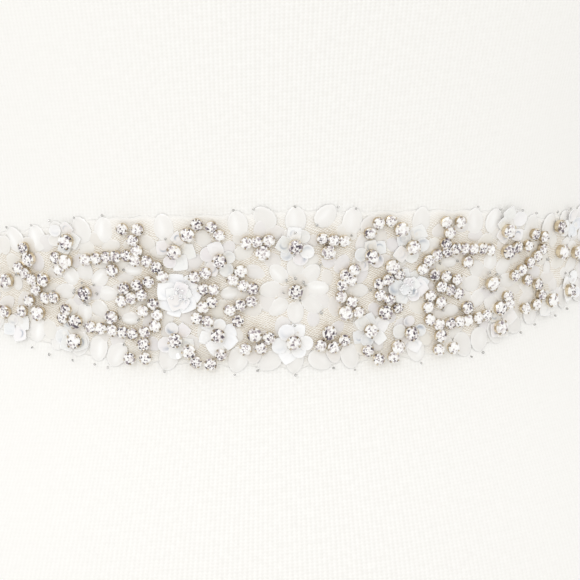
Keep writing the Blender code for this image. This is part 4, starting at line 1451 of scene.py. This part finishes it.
def add_strands(name, paths, radius, sides, finish):
    points, faces = [], []
    for path in paths:
        add_strand(points, faces, path, radius, sides)
    return add_piece(name, points, faces, finish)


def clouded_finish(name, constants, scale, detail, dark, light):
    """A finish in two tones, mixed in fine marks."""
    finish, tree = new_finish(name, constants)
    place = add_node(tree, "ShaderNodeTexCoord").outputs["Object"]
    paint(finish, tone_between(tree, noise(tree, place, scale, detail), dark, light))
    return finish


def hook_path(v):
    """Sewn loop, shank across the seam, then the bill turned back over it."""
    loop = bend(-SEWN_LOOP_AT, v + SEWN_LOOP_RADIUS, SEWN_LOOP_RADIUS, *LOOP_ARC, LOOP_STEPS)
    path = [back_place(across, high, WIRE_OUT) for across, high in loop]
    path += [back_place(-SHANK_BEND * i / 2.0, v, WIRE_OUT) for i in range(SHANK_STEPS, -1, -1)]
    turn_radius = 0.5 * BILL_LIFT
    nose = HOOK_NOSE - turn_radius / MM
    for i in range(NOSE_STEPS + 1):
        angle = math.radians(-90.0 + 180.0 * i / NOSE_STEPS)
        across = nose + turn_radius / MM * math.cos(angle)
        path.append(back_place(across, v, WIRE_OUT + turn_radius * (1.0 + math.sin(angle))))
    for i in range(1, BILL_STEPS + 1):
        across = nose + (HOOK_BILL_END - nose) * i / BILL_STEPS
        path.append(back_place(across, v, WIRE_OUT + BILL_LIFT))
    return path


def eye_path(v):
    """Two sewn loops joined by a bow, which stands off the ribbon where the hook's bill holds it."""
    bow_out = WIRE_OUT + 0.5 * BILL_LIFT
    foot = list(bend(SEWN_LOOP_AT, FOOT_V, SEWN_LOOP_RADIUS, *FOOT_ARC, LOOP_STEPS))
    bow = bend(EYE_TIP + EYE_HALF_WIDTH - HOOK_NOSE, 0.0, EYE_HALF_WIDTH, 90.0, 270.0, BOW_STEPS)
    path = [back_place(across, v + high, WIRE_OUT) for across, high in foot]
    path.append(back_place(EYE_BEND, v + EYE_HALF_WIDTH, WIRE_OUT))
    path += [back_place(across, v + high, bow_out) for across, high in bow]
    path.append(back_place(EYE_BEND, v - EYE_HALF_WIDTH, WIRE_OUT))
    path += [back_place(across, v - high, WIRE_OUT) for across, high in reversed(foot)]
    return path


nickel = clouded_finish("nickel_wire", {"Roughness": 0.24, "Metallic": 1.0}, scale=900.0, detail=4.0,
                        dark=(0.58, 0.56, 0.53), light=(0.90, 0.89, 0.87))
for kind, path_of in (("hook", hook_path), ("eye", eye_path)):
    for level, v in HOOK_PLACES.items():
        node = kind + "_" + level
        wire = add_strands("wire_" + node, [path_of(v)], WIRE_RADIUS, WIRE_SIDES, nickel)
        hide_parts(node)

# ================================================================ the stitches
# Ivory cotton thread: small stitches hold the wire loops, hem the ribbons'
# ends and catch the net's round ends down on the ribbons.

THREAD_RADIUS = 0.00011
THREAD_SIDES = 6
THREAD_SINK = 0.0001
HEM_TOP = RIBBON_LIFT + SATIN_THICKNESS + HEM_RISE
WIRE_TOP = WIRE_OUT + WIRE_RADIUS + THREAD_RADIUS
LOOP_STITCHES = (20.0, 95.0, 150.0, 215.0)
LOOP_STITCH = (0.35, 2.2)
SHANK_STITCHES = (-5.2, -4.4)
HEM_STITCHES = 10
HEM_STITCH = 1.3
HEM_STITCH_INSET = 0.7
HEM_STITCH_SINK = 0.00005
HEM_STITCH_RISE = 0.00012
HEM_END_ROOM = 1.2
CATCH_STITCHES = (164.5, 167.0, 169.5, 172.0, 174.5, 176.5)
CATCH_RISE = 0.0002
CATCH_SLANT = 0.4
CATCH_ENDS = (0.6, 0.9)  # inside and outside the net's edge
STITCH_STEPS = 8
STITCH_ROUNDING = 0.7


def stitch_over(start, end, ground, top):
    """A stitch between two (u, v) places that rises from the ground over something as high as top."""
    path = []
    for i in range(STITCH_STEPS + 1):
        part = i / STITCH_STEPS
        u = start[0] + (end[0] - start[0]) * part
        v = start[1] + (end[1] - start[1]) * part
        path.append(worn_point(u, v, ground + (top - ground) * math.sin(math.pi * part) ** STITCH_ROUNDING))
    return path


def wire_stitches(v):
    """Stitches over the wire loops of one hook and eye, and over the hook's shank."""
    loops = ((-SEWN_LOOP_AT, v + SEWN_LOOP_RADIUS), (SEWN_LOOP_AT, v + FOOT_V), (SEWN_LOOP_AT, v - FOOT_V))
    for across, centre_v in loops:
        for turn in LOOP_STITCHES:
            start, end = (about(HALF_WAIST - across, centre_v, reach, math.radians(turn))
                          for reach in LOOP_STITCH)
            yield stitch_over(start, end, HEM_TOP - THREAD_SINK, WIRE_TOP)
    for across in SHANK_STITCHES:
        u = HALF_WAIST - across
        yield stitch_over((u, v - 1.0), (u, v + 1.0), HEM_TOP - THREAD_SINK, WIRE_TOP)


def ribbon_stitches(side):
    """Stitches along one ribbon's hem, and round the net's end where it lies on the ribbon."""
    hem_u = side * (ribbon_end - HEM + HEM_STITCH_INSET)
    for i in range(HEM_STITCHES):
        v = 2.0 * (RIBBON_HALF_WIDTH - HEM_END_ROOM) * ((i + 0.5) / HEM_STITCHES - 0.5)
        yield stitch_over((hem_u, v - 0.5 * HEM_STITCH), (hem_u, v + 0.5 * HEM_STITCH),
                          HEM_TOP - HEM_STITCH_SINK, HEM_TOP + HEM_STITCH_RISE)
    for u in CATCH_STITCHES:
        net_top = panel_base(u) + NET_TOP
        for upper in BOTH:
            v = upper * net_edge_at(side * u)
            start = (side * u, v - CATCH_ENDS[0] * upper)
            end = (side * (u + CATCH_SLANT), v + CATCH_ENDS[1] * upper)
            yield stitch_over(start, end, net_top - THREAD_SINK, net_top + CATCH_RISE)


thread_paths = []
for v in HOOK_PLACES.values():
    thread_paths += wire_stitches(v)
for side in BOTH:
    thread_paths += ribbon_stitches(side)
thread = clouded_finish("ivory_thread", {"Roughness": 0.7}, scale=2500.0, detail=2.0,
                        dark=(0.80, 0.76, 0.68), light=(0.95, 0.93, 0.88))
add_strands("stitches", thread_paths, THREAD_RADIUS, THREAD_SIDES, thread)

# ====================================================== light, floor, camera
# A pale studio: an even white surround, a soft lamp from the upper left and
# the camera a little to the right of the wearer's front, looking down at it.

FLOOR_CORNERS = ((-4.0, -4.0, -0.001), (4.0, -4.0, -0.001), (4.0, 4.0, -0.001), (-4.0, 4.0, -0.001))
LAMP_PLACE = Vector((-0.45, -1.1, 0.78))
VIEW_TURN = math.radians(-6.72)
VIEW_RISE = math.radians(10.24)
VIEW_DISTANCE = 0.6
VIEW_LENS = 126.6
VIEW_ASIDE = 0.0013
VIEW_BELOW = 0.00035
VIEW_ROLL = math.radians(0.3)
waist_front = form_point(0.0, WAIST_HEIGHT)


def look_at(item, place, target):
    item.location = place
    item.rotation_euler = (target - place).to_track_quat("-Z", "Y").to_euler()
    bpy.context.scene.collection.objects.link(item)


floor_mesh = bpy.data.meshes.new("floor")
floor_mesh.from_pydata(FLOOR_CORNERS, [], [(0, 1, 2, 3)])
floor_finish, _ = new_finish("pale_floor", {"Roughness": 0.8, "Base Color": (0.87, 0.87, 0.86, 1.0)})
floor_mesh.materials.append(floor_finish)
floor = bpy.data.objects.new("floor", floor_mesh)
bpy.context.scene.collection.objects.link(floor)

world = bpy.data.worlds.new("studio")
bpy.context.scene.world = world
world.use_nodes = True
surround = world.node_tree.nodes["Background"]
surround.inputs["Color"].default_value = (1.0, 0.996, 0.988, 1.0)
surround.inputs["Strength"].default_value = 1.005

lamp = bpy.data.lights.new("soft_lamp", "AREA")
lamp.shape = "SQUARE"
lamp.size = 0.25
lamp.energy = 1.5
look_at(bpy.data.objects.new("soft_lamp", lamp), LAMP_PLACE, waist_front)

view_from = Vector((math.sin(VIEW_TURN) * math.cos(VIEW_RISE), -math.cos(VIEW_TURN) * math.cos(VIEW_RISE),
                    math.sin(VIEW_RISE)))
view_right = Vector((math.cos(VIEW_TURN), math.sin(VIEW_TURN), 0.0))
camera = bpy.data.cameras.new("camera")
camera.lens = VIEW_LENS
camera.clip_start = 0.01
camera_item = bpy.data.objects.new("camera", camera)
looked_at = waist_front - view_right * VIEW_ASIDE - Vector((0.0, 0.0, VIEW_BELOW))
look_at(camera_item, waist_front + view_from * VIEW_DISTANCE, looked_at)
camera_item.rotation_euler.rotate_axis("Z", -VIEW_ROLL)
bpy.context.scene.camera = camera_item
bpy.context.scene.view_settings.view_transform = "Standard"
